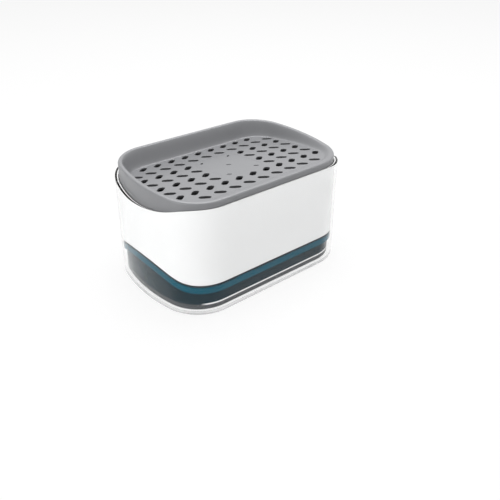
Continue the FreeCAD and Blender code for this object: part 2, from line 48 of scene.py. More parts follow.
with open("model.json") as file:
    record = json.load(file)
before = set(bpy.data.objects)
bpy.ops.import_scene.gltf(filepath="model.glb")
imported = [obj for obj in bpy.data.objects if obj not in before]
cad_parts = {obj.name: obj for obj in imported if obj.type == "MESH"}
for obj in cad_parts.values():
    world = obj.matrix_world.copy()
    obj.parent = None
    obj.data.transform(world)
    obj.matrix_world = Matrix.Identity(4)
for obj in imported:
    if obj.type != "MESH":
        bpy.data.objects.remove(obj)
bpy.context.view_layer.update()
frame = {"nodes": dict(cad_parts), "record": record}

MM = 0.001
CM = 10 * MM
WELD = 1e-6
HOLD = 0.4 * MM  # holding rings to the ends of a straight wall
SHARP = math.radians(32)

# Steps along the arcs and sides of the shapes
END_STEPS = 20
CORNER_STEPS = 18
SIDE_STEPS = 6
ROUND_STEPS = 5
DISH_STEPS = 12
RING_STEPS = 6
GRIP_STEPS = 12
FLUTE_STEPS = 6

MID_ROUND = 0.29  # how far a round's middle stands in from both faces, as a share of its radius
SHELL_START = 2  # first step of the dished wall's underside, clear of the rim
FULL_ROWS = 2  # rows of slots at the front and the back that run past the outlet plate
PLATE_COLUMNS = 1  # slots each side of the middle that the outlet plate takes the place of
OUTLET_ROW = 1.5  # outer soap outlets to the middle, in rows of slots
GRIP_GROOVES = (1.2 * MM, 3.4 * MM)  # grooves of a foot, from its edge
CLEAR_IOR = 1.15

# Sizes of the lamps, the heights that they face, and the floor
OVERHEAD_SIZE, OVERHEAD_AIM = (1.3, 1.3), 0.05
STRIP_SIZE, STRIP_AIM = (0.5, 0.07), 0.045
FLOOR_SIZE = 3.0
FLOOR_GLOW = 0.86

UP = Vector((0, 0, 1))


def top(node):
    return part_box(node)[1].z


def bottom(node):
    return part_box(node)[0].z


def reach(node):
    """Radius of a round node on the pump's axis."""
    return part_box(node)[1].x


def length(name, description, millimetres):
    return FloatProperty(name=name, description=description, default=millimetres * MM, min=0, unit="LENGTH",
                         precision=5)


def slant(name, description, degrees):
    return FloatProperty(name=name, description=description, default=math.radians(degrees), subtype="ANGLE")


def share(name, description, default):
    return FloatProperty(name=name, description=description, default=default, min=0, max=1,
                         subtype="FACTOR")


def number(name, description, default):
    return IntProperty(name=name, description=description, default=default, min=2)


def power(name, description, watts):
    return FloatProperty(name=name, description=description, default=watts, min=0, unit="POWER")


def position(name, description, default):
    return FloatVectorProperty(name=name, description=description, default=default, size=3,
                               subtype="TRANSLATION", unit="LENGTH")


def colour(name, description, default):
    return FloatVectorProperty(name=name, description=description, default=default, min=0, max=1, size=3,
                               subtype="COLOR")


class CaddyPlanSizes(bpy.types.PropertyGroup):
    """Plan of the caddy and its swelling edge lines."""
    length: length("Length", "Length of the case over its bowed ends", 2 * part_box("clear_case")[1].x / MM)
    width: length("Width", "Width of the case over its straight sides", 2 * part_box("clear_case")[1].y / MM)
    corner_radius: length("Corner Radius", "Radius of the upright corners", 30)
    end_radius: length("End Radius", "Radius of the bowed ends", 127)
    end_dip: length("End Dip", "How far the case's rim dips at both ends", 7.5)
    edge_arch: length("Edge Arch", "How far the white edge arches up at both ends", 9.4)
    swell_margin: length("Swell Margin", "Level stretch of the edge lines beside the long walls", 3)
    swell_turn: share("Swell Turn", "Share of a swell that its crown takes", 0.7)


class CaddyWallSizes(bpy.types.PropertyGroup):
    """Walls of the case, the tub and the sleeve."""
    case_wall: length("Case Wall", "Thickness of the clear wall", 1.4)
    case_floor: length("Case Floor", "Thickness of the clear base", 2.4)
    base_round: length("Base Round", "Radius round the foot of the case", 2.2)
    rim_round: length("Rim Round", "Radius of the case's rim edges", 0.6)
    pad_radius: length("Pad Radius", "Radius of the pads that carry the tub", 5)
    pad_x: length("Pad X", "Middle of a pad along the case", 45)
    pad_y: length("Pad Y", "Middle of a pad across the case", 25)
    pad_edge: length("Pad Edge", "Chamfer of a pad", 0.2)
    foot_radius: length("Foot Radius", "Radius of each anti-slip foot", 6)
    foot_round: length("Foot Round", "Radius of a foot's lower edge", 0.5)
    foot_groove: length("Foot Groove", "Depth of a foot's grip grooves", 0.3)
    recess_gap: length("Recess Gap", "Room round a foot in its recess", 0.05)
    sleeve_inset: length("Sleeve Inset", "Outer case wall to the sleeve's outside", 1.6)
    sleeve_wall: length("Sleeve Wall", "Thickness of the white sleeve", 0.8)
    deck_round: length("Deck Round", "Radius where the deck meets the sleeve", 1)
    vent_radius: length("Vent Radius", "Radius of the deck's air vents", 1.5)
    vent_x: length("Vent X", "Air vents to the middle of the deck", 30)
    tub_standoff: length("Tub Standoff", "How far the tub's wall stands back from its rim", 1.8)
    tub_wall: length("Tub Wall", "Thickness of the tub's wall", 1.5)
    tub_floor: length("Tub Floor", "Thickness of the tub's floor", 1.8)
    tub_round: length("Tub Round", "Radius round the foot of the tub", 0.7)
    tub_foot: length("Tub Foot", "How far the foot ring stands below the tub's floor", 0.85)
    tub_foot_width: length("Tub Foot Width", "Width of the foot ring", 2.2)
    hollow_round: length("Hollow Round", "Radius round the inside of the tub's floor", 3.5)
    bead_height: length("Bead Height", "Height of the thick rim of the tub", 5)
    seal_width: length("Seal Width", "Width of the seal on the tub's rim", 1.4)
    edge_round: length("Edge Round", "Small radius on moulded edges", 0.3)


class CaddyTraySizes(bpy.types.PropertyGroup):
    """Sponge tray: falling floor, rising rim, dished wall and drain slots."""
    inset: length("Inset", "Outer case wall to the tray's outside", 2.8)
    wall: length("Wall", "Thickness of the skirt", 1.8)
    floor_height: length("Floor Height", "Height of the floor in the middle", 74.4)
    floor_fall: slant("Floor Fall", "Fall of the floor to the back", 4.6)
    floor_thickness: length("Floor Thickness", "Thickness of the floor", 1.8)
    rim_height: length("Rim Height", "Height of the rim's plane in the middle", 81.7)
    rim_rise: slant("Rim Rise", "Climb of the rim to the back", 3.1)
    rim_width: length("Rim Width", "Width of the rim", 2.2)
    rim_round: length("Rim Round", "Radius of the rim's outer edge", 1.2)
    dish_run: length("Dish Run", "Plan width of the dished wall", 5)
    dish_shell: length("Dish Shell", "How far the dished wall's underside lies outside it", 1.2)
    slot_pitch_x: length("Slot Pitch X", "Slot spacing along the tray", 11.7)
    slot_pitch_y: length("Slot Pitch Y", "Slot spacing across the tray", 10.35)
    slot_length: length("Slot Length", "Length of a drain slot", 7.7)
    slot_width: length("Slot Width", "Width of a drain slot", 4.1)
    slot_lean: slant("Slot Lean", "Turn of the slots in plan, the other way in every second row", 40)
    slot_lip: length("Slot Lip", "Rounding of a slot's edge", 0.35)
    slot_draft: length("Slot Draft", "How far a slot widens to its underside, each side", 0.4)
    slot_margin: length("Slot Margin", "Least floor between a slot and the dished wall", 0.15)
    slot_rows: number("Slot Rows", "Rows of slots from back to front", 8)
    slot_columns: number("Slot Columns", "Slots each side of the middle", 5)
    plate_length: length("Plate Length", "Length of the outlet plate", 35)
    plate_width: length("Plate Width", "Width of the outlet plate", 40)
    plate_corner: length("Plate Corner", "Corner radius of the outlet plate", 8)
    plate_thickness: length("Plate Thickness", "Thickness of the outlet plate", 1.2)
    plate_ledge: length("Plate Ledge", "Width of the ledge that the plate lies on", 1.5)
    plate_edge: length("Plate Edge", "Chamfer of the outlet plate", 0.1)
    pan_wall: length("Pan Wall", "Wall of the soap pan below the plate", 1.6)
    pan_floor: length("Pan Floor", "Thickness of the soap pan's floor", 2)
    socket_radius: length("Socket Radius", "Hole in the pan for the spigot and its ring", 5.8)
    boss_radius: length("Boss Radius", "Boss round that hole", 11)
    outlet_length: length("Outlet Length", "Length of a soap outlet", 3.6)
    outlet_width: length("Outlet Width", "Width of a soap outlet", 1.5)
    outlet_lip: length("Outlet Lip", "Rounding of an outlet's edge", 0.2)


class CaddyPumpSizes(bpy.types.PropertyGroup):
    """Pump in the insert: barrel, valves, nut, cap, spring and plunger."""
    barrel_radius: length("Barrel Radius", "Outside of the barrel", 11)
    barrel_bore: length("Barrel Bore", "Radius that the piston runs in", 9)
    barrel_floor: length("Barrel Floor", "Thickness of the barrel's floor", 2)
    hole_gap: length("Hole Gap", "Room round the barrel in the deck", 0.3)
    flange_thickness: length("Flange Thickness", "Flange on the deck", 2.5)
    neck_radius: length("Neck Radius", "Neck that the cap screws on", 12)
    housing_radius: length("Housing Radius", "Housing of the inlet valve", 6)
    housing_height: length("Housing Height", "Height of the inlet valve's housing", 8)
    nozzle_radius: length("Nozzle Radius", "Nozzle for the inlet tube", 3.4)
    valve_bore: length("Valve Bore", "Radius of the inlet ball's chamber", 3.3)
    valve_depth: length("Valve Depth", "Depth of the inlet ball's chamber", 6.36)
    inlet_bore: length("Inlet Bore", "Radius of the inlet", 2.2)
    thread_height: length("Thread Height", "Height of the barrel's thread below the nut", 0.45)
    thread_pitch: length("Thread Pitch", "Climb of the thread in one turn", 1.8)
    thread_root: length("Thread Root", "How far the thread's foot sinks into the barrel", 0.1)
    thread_start: length("Thread Start", "Bare barrel under the thread", 1)
    thread_end: length("Thread End", "Bare barrel between thread and nut", 0.5)
    stop_bore: length("Stop Bore", "Hole in the stop over the inlet ball", 2)
    nut_radius: length("Nut Radius", "Outside of the clamp nut", 16)
    nut_grip: length("Nut Grip", "Radius of a finger grip in the nut", 1.6)
    nut_grips: number("Nut Grips", "Finger grips round the nut", 12)
    cap_wall: length("Cap Wall", "Wall of the guide cap", 1.9)
    cap_top: length("Cap Top", "Thickness of the guide cap's top", 2.4)
    cap_flute: length("Cap Flute", "Depth of the cap's flutes", 0.35)
    cap_flutes: number("Cap Flutes", "Flutes round the cap", 30)
    flute_start: length("Flute Start", "Plain wall under the cap's flutes", 0.8)
    flute_end: length("Flute End", "Plain wall over the cap's flutes", 1.2)
    cap_chamfer: length("Cap Chamfer", "Chamfer of the cap's upper edge", 0.5)
    guide_radius: length("Guide Radius", "Tube that guides the stem", 7.8)
    guide_bore: length("Guide Bore", "Hole for the stem", 4.56)
    stem_bore: length("Stem Bore", "Soap way through the stem", 1.8)
    stem_seat: length("Stem Seat", "How far the stem sits in head or piston", 3)
    fit_gap: length("Fit Gap", "Room between pieces that fit", 0.05)
    piston_floor: length("Piston Floor", "Thickness of the piston below the stem", 1.5)
    groove_depth: length("Groove Depth", "Depth of the seal's groove", 1.44)
    wiper_lip: length("Wiper Lip", "Height and depth of a wiping lip", 0.4)
    head_round: length("Head Round", "Radius of the head's upper edge", 1)
    hub_radius: length("Hub Radius", "Hub under the head", 7)
    hub_height: length("Hub Height", "Height of the hub", 2.5)
    spigot_radius: length("Spigot Radius", "Spigot that enters the tray", 5.4)
    spigot_height: length("Spigot Height", "Height of the spigot", 3.6)
    chamber_bore: length("Chamber Bore", "Radius of the outlet ball's chamber", 2.6)
    chamber_height: length("Chamber Height", "Height of the outlet ball's chamber", 5.25)
    outlet_bore: length("Outlet Bore", "Radius of the outlet", 1.6)
    wire_radius: length("Wire Radius", "Radius of the spring's wire", 0.7)
    spring_turns: number("Spring Turns", "Turns of the return spring", 5)
    spring_keep: share("Spring Keep", "Share of its height that the pressed spring keeps", 0.545)
    turned_round: length("Turned Round", "Small radius on the pump's edges", 0.2)


class CaddyColours(bpy.types.PropertyGroup):
    """Colours of the mouldings and metal."""
    clear: colour("Clear", "Clear plastic", (0.985, 0.988, 0.988))
    teal: colour("Teal", "Rim of the tub", (0.008, 0.09, 0.135))
    slate: colour("Slate", "Wall of the tub", (0.012, 0.028, 0.037))
    # Foot of the tub, lighter than its wall as painted reflection of the floor
    foot_grey: colour("Foot Grey", "Foot of the tub", (0.085, 0.09, 0.094))
    white: colour("White", "White mouldings", (0.85, 0.85, 0.85))
    grey: colour("Grey", "Sponge tray", (0.265, 0.268, 0.279))
    # Inside of the insert, dark as painted shade
    charcoal: colour("Charcoal", "Inside of the insert", (0.03, 0.031, 0.033))
    natural: colour("Natural", "Undyed pump mouldings", (0.78, 0.775, 0.75))
    milky: colour("Milky", "Silicone seals", (0.66, 0.80, 0.83))
    rubber: colour("Rubber", "Anti-slip feet", (0.28, 0.29, 0.30))
    steel: colour("Steel", "Spring and valve balls", (0.62, 0.62, 0.63))


class CaddyStage(bpy.types.PropertyGroup):
    """Camera and studio light."""
    azimuth: slant("Azimuth", "Camera's turn about the upright axis", -38.183)
    elevation: slant("Elevation", "Camera's height above the horizon", 26.349)
    roll: slant("Roll", "Camera's turn about its own axis", -0.729)
    distance: length("Distance", "Camera to the middle of the caddy", 412.23)
    aim_height: length("Aim Height", "Height that the camera turns about", 45)
    lens: FloatProperty(name="Lens", description="Focal length in millimetres", default=41.63, min=1,
                        unit="CAMERA")
    shift_x: FloatProperty(name="Shift X", description="Sideways shift of the frame", default=0.0418)
    shift_y: FloatProperty(name="Shift Y", description="Upward shift of the frame", default=-0.0948)
    overhead: power("Overhead", "Overhead soft box", 16)
    side: power("Side", "Low strip on the left", 0.5)
    overhead_place: position("Overhead Place", "Middle of the overhead soft box", (0.12, 0.08, 1.1))
    side_place: position("Side Place", "Middle of the low strip", (-0.57, -0.1, 0.045))
    ambient: share("Ambient", "Even light from all round", 0.34)


def settings():
    return bpy.context.scene


class Wire:
    """A shader socket in an expression: arithmetic on it adds Math nodes to its finish."""

    def __init__(self, finish, socket):
        self.finish = finish
        self.socket = socket

    def maths(self, operation, first, second):
        return self.finish.node("ShaderNodeMath", {"operation": operation}, {0: first, 1: second})

    def __add__(self, other):
        return self.maths("ADD", self, other)

    def __radd__(self, other):
        return self.maths("ADD", other, self)

    def __sub__(self, other):
        return self.maths("SUBTRACT", self, other)

    def __rsub__(self, other):
        return self.maths("SUBTRACT", other, self)

    def __mul__(self, other):
        return self.maths("MULTIPLY", self, other)

    def __rmul__(self, other):
        return self.maths("MULTIPLY", other, self)

    def __truediv__(self, other):
        return self.maths("DIVIDE", self, other)

    def __rtruediv__(self, other):
        return self.maths("DIVIDE", other, self)


class NodeTree:
    """A node tree in the making."""

    def __init__(self, tree):
        self.tree = tree

    def feed(self, socket, value):
        if isinstance(value, Wire):
            self.tree.links.new(value.socket, socket)
        else:
            socket.default_value = value

    def node(self, kind, options, inputs, output=0):
        """Add a node: its settings first, then the values or links of its sockets."""
        node = self.tree.nodes.new(kind)
        for key, value in options.items():
            if key == "stops":
                self.set_stops(node.color_ramp, value)
            else:
                setattr(node, key, value)
        for key, value in inputs.items():
            self.feed(node.inputs[key], value)
        return Wire(self, node.outputs[output])

    def set_stops(self, ramp, stops):
        for place, shade in stops[2:]:
            ramp.elements.new(place)
        for element, (place, shade) in zip(ramp.elements, sorted(stops)):
            element.position = place
            element.color = (*shade, 1) if isinstance(shade, tuple) else (shade, shade, shade, 1)


class Finish(NodeTree):
    """A material in the making: a Principled shader and the nodes that feed it."""

    def __init__(self, name, fixed):
        self.material = bpy.data.materials.new(name)
        self.material.use_nodes = True
        super().__init__(self.material.node_tree)
        self.shader = self.tree.nodes["Principled BSDF"]
        for socket, value in fixed.items():
            self.feed(self.shader.inputs[socket], value)

    def place(self, scale=(1, 1, 1)):
        spot = self.node("ShaderNodeTexCoord", {}, {}, "Object")
        return self.node("ShaderNodeMapping", {}, {"Vector": spot, "Scale": scale})

    def along(self, axis):
        return self.node("ShaderNodeSeparateXYZ", {}, {0: self.place()}, axis)

    def attribute(self, name):
        return self.node("ShaderNodeAttribute", {"attribute_name": name}, {}, "Fac")

    def noise(self, size, detail=2.0, stretch=(1, 1, 1)):
        """Soft noise with lumps of about a given size in metres."""
        return self.node("ShaderNodeTexNoise", {}, {"Vector": self.place(stretch), "Scale": 1 / size,
                                                    "Detail": detail})

    def ramp(self, factor, *stops):
        return self.node("ShaderNodeValToRGB", {"stops": list(stops)}, {0: factor})

    def mix(self, factor, first, second):
        def rgba(value):
            return value if isinstance(value, Wire) else (*value, 1)
        return self.node("ShaderNodeMix", {"data_type": "RGBA"},
                         {0: factor, 6: rgba(first), 7: rgba(second)}, 2)

    def tone(self, factor, base, dark, light):
        """A colour that goes from darker to lighter with a factor."""
        return self.mix(factor, shaded(base, dark), shaded(base, light))

    def bump(self, height, strength, depth):
        return self.node("ShaderNodeBump", {}, {"Height": height, "Strength": strength, "Distance": depth})

    def set(self, **inputs):
        for key, value in inputs.items():
            self.feed(self.shader.inputs[key.replace("_", " ").title()], value)
        return self.material

    def blend(self, factor, other):
        """Mix another shader over the Principled one."""
        own = Wire(self, self.shader.outputs[0])
        surface = self.node("ShaderNodeMixShader", {}, {0: factor, 1: own, 2: other})
        self.feed(self.tree.nodes["Material Output"].inputs[0], surface)
        return self.material


def shaded(base, by):
    return tuple(c * by for c in base)


def clear_plastic():
    """Polished clear plastic, faintly hazed and lightly smudged."""
    return clear_moulding("clear_plastic", 14 * MM, 0.015, 0.015)


def frosted_base():
    """Clear plastic with a spark-eroded skin, under the case."""
    return clear_moulding("frosted_base", 0.8 * MM, 0.45, 0.1)


def clear_moulding(name, patch, polish, spread):
    """Clear plastic that lets lamps through, its roughness going up from polish by spread."""
    base = tuple(settings().caddy_colours.clear)
    finish = Finish(name, {"Transmission Weight": 1.0, "IOR": CLEAR_IOR})
    smudge = finish.noise(patch, 3)
    haze = finish.ramp(smudge, (0.45, 0.0), (0.75, 1.0))
    finish.set(base_color=finish.tone(smudge, base, 1, 0.985), roughness=polish + haze * spread)
    lamp = finish.node("ShaderNodeLightPath", {}, {}, "Is Shadow Ray")
    open_way = finish.node("ShaderNodeBsdfTransparent", {}, {"Color": (*shaded(base, 0.96), 1)})
    return finish.blend(lamp, open_way)


def smoked_tub():
    """Smoked plastic: teal in the thick rim, slate in the wall, a darker strip under the seal as painted
    shadow, a pale line near the foot as painted highlight and a greyer foot as painted reflection of the
    floor.
    """
    colours = settings().caddy_colours
    finish = Finish("smoked_tub", {"Specular IOR Level": 0.15})
    cloud = finish.noise(9 * MM, 3)
    # Stops of the ramps are heights in centimetres, and shares of 5 cm across
    depth = (finish.attribute("rim_depth") + cloud * (0.6 * MM)) / CM
    # Painted shadow: the first stop darkens the top edge under the seal
    wall = finish.ramp(depth, (0.02, shaded(colours.slate, 0.5)), (0.1, tuple(colours.teal)),
                       (0.5, shaded(colours.teal, 0.9)), (0.6, tuple(colours.slate)))
    foot = finish.attribute("foot_height") / CM
    side = finish.node("ShaderNodeMath", {"operation": "ABSOLUTE"}, {0: finish.along("Y")}) / (5 * CM)
    # Painted highlight: a pale line round the foot, on the long sides only
    line = finish.ramp(foot, (0.69, 0.0), (0.72, 1.0), (0.8, 1.0), (0.83, 0.0))
    highlight_side_mask = finish.ramp(side, (0.86, 0.0), (0.9, 1.0))
    # Painted reflection: below the highlight line the foot turns a lighter grey
    tint = finish.mix(finish.ramp(foot, (0.71, 0.0), (0.79, 1.0)), tuple(colours.foot_grey), wall)
    tint = finish.mix(line * highlight_side_mask, tint, tuple(colours.white))
    return finish.set(base_color=tint, roughness=0.12 + cloud * 0.1)


def gap_shadow_silicone():
    """Silicone of the tub's seal, dark as painted shadow of the gap under the sleeve's edge, with a dusty
    skin.
    """
    base = tuple(settings().caddy_colours.slate)
    finish = Finish("gap_shadow_silicone", {"Specular IOR Level": 0.3})
    dust = finish.noise(1.6 * MM, 4)
    return finish.set(base_color=finish.tone(dust, base, 0.8, 1.1),
                      roughness=0.35 + dust * 0.2, normal=finish.bump(dust, 0.08, 0.05 * MM))


def gloss_white():
    """Glossy white moulding with a faint flow pattern and orange peel."""
    base = tuple(settings().caddy_colours.white)
    finish = Finish("gloss_white", {"Coat Roughness": 0.08, "Specular IOR Level": 0.5})
    flow = finish.noise(22 * MM, 2, (1, 1, 0.5))
    peel = finish.noise(1.1 * MM, 1)
    return finish.set(base_color=finish.tone(flow, base, 0.996, 1), roughness=0.24 + flow * 0.04,
                      coat_weight=0.28 + flow * 0.04, normal=finish.bump(peel, 0.012, 0.05 * MM))


def satin_grey():
    """Satin grey moulding with metal flake and a fine spark-eroded grain."""
    base = tuple(settings().caddy_colours.grey)
    finish = Finish("satin_grey", {"Specular IOR Level": 0.5})
    grain = finish.noise(0.45 * MM, 2)
    patch = finish.noise(18 * MM, 3)
    tone = finish.tone(grain * 0.5 + patch * 0.5, base, 0.93, 1.06)
    return finish.set(base_color=tone, metallic=0.15 + grain * 0.1,
                      roughness=0.3 + patch * 0.08 + grain * 0.06,
                      normal=finish.bump(grain, 0.12, 0.08 * MM))


def inside_painted_shade():
    """Dark grained plastic inside the insert, as painted shade where little light reaches through the slots.
    """
    base = tuple(settings().caddy_colours.charcoal)
    finish = Finish("inside_painted_shade", {"Specular IOR Level": 0.3})
    grain = finish.noise(0.6 * MM, 2)
    return finish.set(base_color=finish.tone(grain, base, 0.8, 1.2),
                      roughness=0.55 + grain * 0.15, normal=finish.bump(grain, 0.15, 0.08 * MM))


def natural_plastic():
    """Undyed pump plastic, slightly waxy and cloudy."""
    base = tuple(settings().caddy_colours.natural)
    finish = Finish("natural_plastic", {"Subsurface Weight": 0.1,
                                        "Subsurface Radius": (2 * MM, 2 * MM, 1.6 * MM)})
    cloud = finish.noise(5 * MM, 3)
    lines = finish.noise(0.5 * MM, 1, (0.2, 0.2, 1))
    return finish.set(base_color=finish.tone(cloud, base, 0.92, 1), roughness=0.38 + cloud * 0.14,
                      normal=finish.bump(lines, 0.1, 0.05 * MM))


def milky_silicone():
    """Milky translucent silicone with a dusty skin."""
    base = tuple(settings().caddy_colours.milky)
    finish = Finish("milky_silicone", {"Subsurface Weight": 0.2,
                                       "Subsurface Radius": (1 * MM, 1.2 * MM, 1.3 * MM)})
    dust = finish.noise(1.6 * MM, 4)
    return finish.set(base_color=finish.tone(dust, base, 0.94, 1), roughness=0.32 + dust * 0.2,
                      normal=finish.bump(dust, 0.08, 0.05 * MM))


def foot_rubber():
    """Grey silicone rubber with a matt, finely pitted skin."""
    base = tuple(settings().caddy_colours.rubber)
    finish = Finish("foot_rubber", {"Specular IOR Level": 0.35})
    pits = finish.noise(0.35 * MM, 2)
    wear = finish.noise(4 * MM, 3)
    return finish.set(base_color=finish.tone(wear, base, 0.85, 1.1),
                      roughness=0.62 + wear * 0.2, normal=finish.bump(pits, 0.25, 0.1 * MM))


def drawn_wire():
    """Spring wire with drawing lines and a faint oil film."""
    base = tuple(settings().caddy_colours.steel)
    finish = Finish("drawn_wire", {"Metallic": 1.0})
    lines = finish.noise(0.2 * MM, 2, (0.15, 0.15, 1))
    film = finish.noise(3 * MM, 2)
    return finish.set(base_color=finish.tone(film, base, 0.82, 1), roughness=0.2 + lines * 0.18,
                      normal=finish.bump(lines, 0.12, 0.03 * MM))


def polished_ball():
    """Polished steel ball with fine handling marks."""
    base = tuple(settings().caddy_colours.steel)
    finish = Finish("polished_ball", {"Metallic": 1.0})
    marks = finish.noise(0.5 * MM, 4, (1, 0.3, 1))
    return finish.set(base_color=finish.tone(marks, base, 0.94, 1.08),
                      roughness=0.06 + marks * 0.1)


FINISHES = {"clear": clear_plastic, "tub": smoked_tub, "white": gloss_white, "tray": satin_grey,
            "pump": natural_plastic, "seal": milky_silicone, "feet": foot_rubber, "spring": drawn_wire,
            "ball": polished_ball}


def finish_by(maker):
    """Material of a finish, made at its first use."""
    return bpy.data.materials.get(maker.__name__) or maker()


def level(z):
    return lambda co: z


def leaning(z, slope):
    """Height line of a plane that climbs to the back."""
    return lambda co: z + slope * co.y


def raised(line, by):
    return lambda co: line(co) + by


def swelling(z, rise):
    """Height line that is level at the sides and swells by a rise towards the middle."""
    sizes = settings().caddy_plan
    half = sizes.width / 2 - sizes.swell_margin
    whole = (half ** 2 + rise ** 2) / (2 * abs(rise))
    crown = sizes.swell_turn * whole
    foot = whole - crown
    change = half * (1 - foot / whole)
    sign = math.copysign(1, rise)

    def line(co):
        y = abs(co.y)
        if y >= half:
            return z
        if y > change:
            return z + sign * (foot - math.sqrt(foot ** 2 - (half - y) ** 2))
        return z + rise - sign * (crown - math.sqrt(crown ** 2 - y ** 2))

    return line


class Loop:
    """A closed run of edges, extruded step by step and drawn in or out along its own normals."""

    def __init__(self, bm, edges, outward, inset=0.0):
        self.bm = bm
        self.edges = edges
        self.outward = outward
        self.inset = inset

    def to(self, inset, line):
        """Extrude to an inset and a height line."""
        made = bmesh.ops.extrude_edge_only(self.bm, edges=self.edges)["geom"]
        fresh = {g for g in made if isinstance(g, bmesh.types.BMVert)}
        self.edges = [g for g in made if isinstance(g, bmesh.types.BMEdge) and fresh.issuperset(g.verts)]
        for vert in fresh:
            vert.co -= self.outward(vert.co) * (inset - self.inset)
            vert.co.z = line(vert.co)
        self.inset = inset
        self.line = line
        return self

    def wall(self, line):
        """Extrude straight to a height line, with a holding ring near each end for flat shading."""
        here = self.edges[0].verts[0].co
        hold = math.copysign(HOLD, line(here) - here.z)
        self.to(self.inset, raised(self.line, hold)).to(self.inset, raised(line, -hold))
        return self.to(self.inset, line)

    def run(self, path):
        for inset, line in path:
            self.to(inset, line)
        return self

    def copy(self):
        return Loop(self.bm, list(self.edges), self.outward, self.inset)

    def cap(self):
        bmesh.ops.edgeloop_fill(self.bm, edges=self.edges)


def quarter(steps=ROUND_STEPS):
    """Sine and cosine of the steps through a quarter turn, after its start."""
    turns = [math.pi / 2 * k / steps for k in range(1, steps + 1)]
    return [(math.sin(t), math.cos(t)) for t in turns]


def fill(bm, loops, normal=UP):
    """Flat face between an outer loop and the holes in it."""
    bmesh.ops.triangle_fill(bm, use_beauty=True, use_dissolve=False, normal=normal,
                            edges=[e for loop in loops for e in loop.edges])


def bridge(first, second):
    bmesh.ops.bridge_loops(first.bm, edges=first.edges + second.edges)


def connected(vert):
    """Vertices and edges that hang together with a vertex."""
    verts, edges, ahead = {vert}, set(), [vert]
    while ahead:
        for edge in ahead.pop().link_edges:
            edges.add(edge)
            ahead += [v for v in edge.verts if v not in verts]
            verts.update(edge.verts)
    return list(verts), list(edges)


def rim_of(verts):
    return list({edge for vert in verts for edge in vert.link_edges})


def plan_step(co):
    """Step to a point from the middle of its plan arc or from the long axis, and the radius there."""
    sizes = settings().caddy_plan
    end_x, corner_x, corner_y, turn = plan_centres(sizes)
    x, y = abs(co.x), abs(co.y)
    if math.atan2(y, x - end_x) <= turn + WELD:
        return Vector((x - end_x, y, 0)), sizes.end_radius
    if x > corner_x:
        return Vector((x - corner_x, y - corner_y, 0)), sizes.corner_radius
    return Vector((0, y, 0)), sizes.width / 2


def plan_normal(co):
    """Outward normal of the caddy's plan at a point, the same at every inset."""
    step = plan_step(co)[0].normalized()
    return Vector((math.copysign(step.x, co.x), math.copysign(step.y, co.y), 0))


def plan_depth(co):
    """How far a point lies inside the caddy's plan."""
    step, radius = plan_step(co)
    return radius - step.length


def plan_centres(sizes):
    """Middle of the right end's arc, middle of its corner's arc and the turn where they meet."""
    end_x = sizes.length / 2 - sizes.end_radius
    corner_y = sizes.width / 2 - sizes.corner_radius
    corner_x = end_x + math.sqrt((sizes.end_radius - sizes.corner_radius) ** 2 - corner_y ** 2)
    return end_x, corner_x, corner_y, math.atan2(corner_y, corner_x - end_x)


def plan_loop(bm, inset, line):
    """The caddy's plan drawn in by an inset: arcs spun for one quarter, mirrored twice."""
    sizes = settings().caddy_plan
    end_x, corner_x, corner_y, turn = plan_centres(sizes)
    tip = bm.verts.new((sizes.length / 2 - inset, 0, 0))
    last = tip
    arcs = (((end_x, 0, 0), turn, END_STEPS), ((corner_x, corner_y, 0), math.pi / 2 - turn, CORNER_STEPS))
    for centre, angle, steps in arcs:
        spun = bmesh.ops.spin(bm, geom=[last], cent=centre, axis=UP, angle=angle, steps=steps,
                              use_merge=False)
        last = next(g for g in spun["geom_last"] if isinstance(g, bmesh.types.BMVert))
    for _ in range(SIDE_STEPS):
        grown = bmesh.ops.extrude_vert_indiv(bm, verts=[last])
        last = grown["verts"][0]
        bmesh.ops.translate(bm, verts=[last], vec=(-corner_x / SIDE_STEPS, 0, 0))
    for axis in "XY":
        verts, edges = connected(tip)
        bmesh.ops.mirror(bm, geom=verts + edges, matrix=Matrix(), merge_dist=WELD, axis=axis)
    verts, edges = connected(tip)
    for vert in verts:
        vert.co.z = line(vert.co)
    return Loop(bm, edges, plan_normal, inset)


def circle_loop(bm, x, y, z, radius, steps=40):
    made = bmesh.ops.create_circle(bm, radius=radius, segments=steps, matrix=Matrix.Translation((x, y, z)))
    centre = Vector((x, y, 0))

    def outward(co):
        return (Vector((co.x, co.y, 0)) - centre).normalized()

    return Loop(bm, rim_of(made["verts"]), outward)


def slot_loop(bm, place, lean, slot_length, slot_width, line, steps=18):
    """Round-ended slot: a circle parted along its length, turned and set down on a height line."""
    radius, half = slot_width / 2, (slot_length - slot_width) / 2
    verts = bmesh.ops.create_circle(bm, radius=radius, segments=steps, matrix=Matrix())["verts"]
    for side in (-1, 1):
        bmesh.ops.translate(bm, verts=[v for v in verts if v.co.x * side > 0], vec=(side * half, 0, 0))
    bmesh.ops.rotate(bm, verts=verts, cent=(0, 0, 0), matrix=Matrix.Rotation(lean, 3, "Z"))
    bmesh.ops.translate(bm, verts=verts, vec=place)
    for vert in verts:
        vert.co.z = line(vert.co)
    way = Vector((math.cos(lean), math.sin(lean), 0)) * half

    def outward(co):
        away = Vector((co.x, co.y, 0)) - Vector(place)
        away -= way * math.copysign(1, away.dot(way))
        return away.normalized()

    return Loop(bm, rim_of(verts), outward)


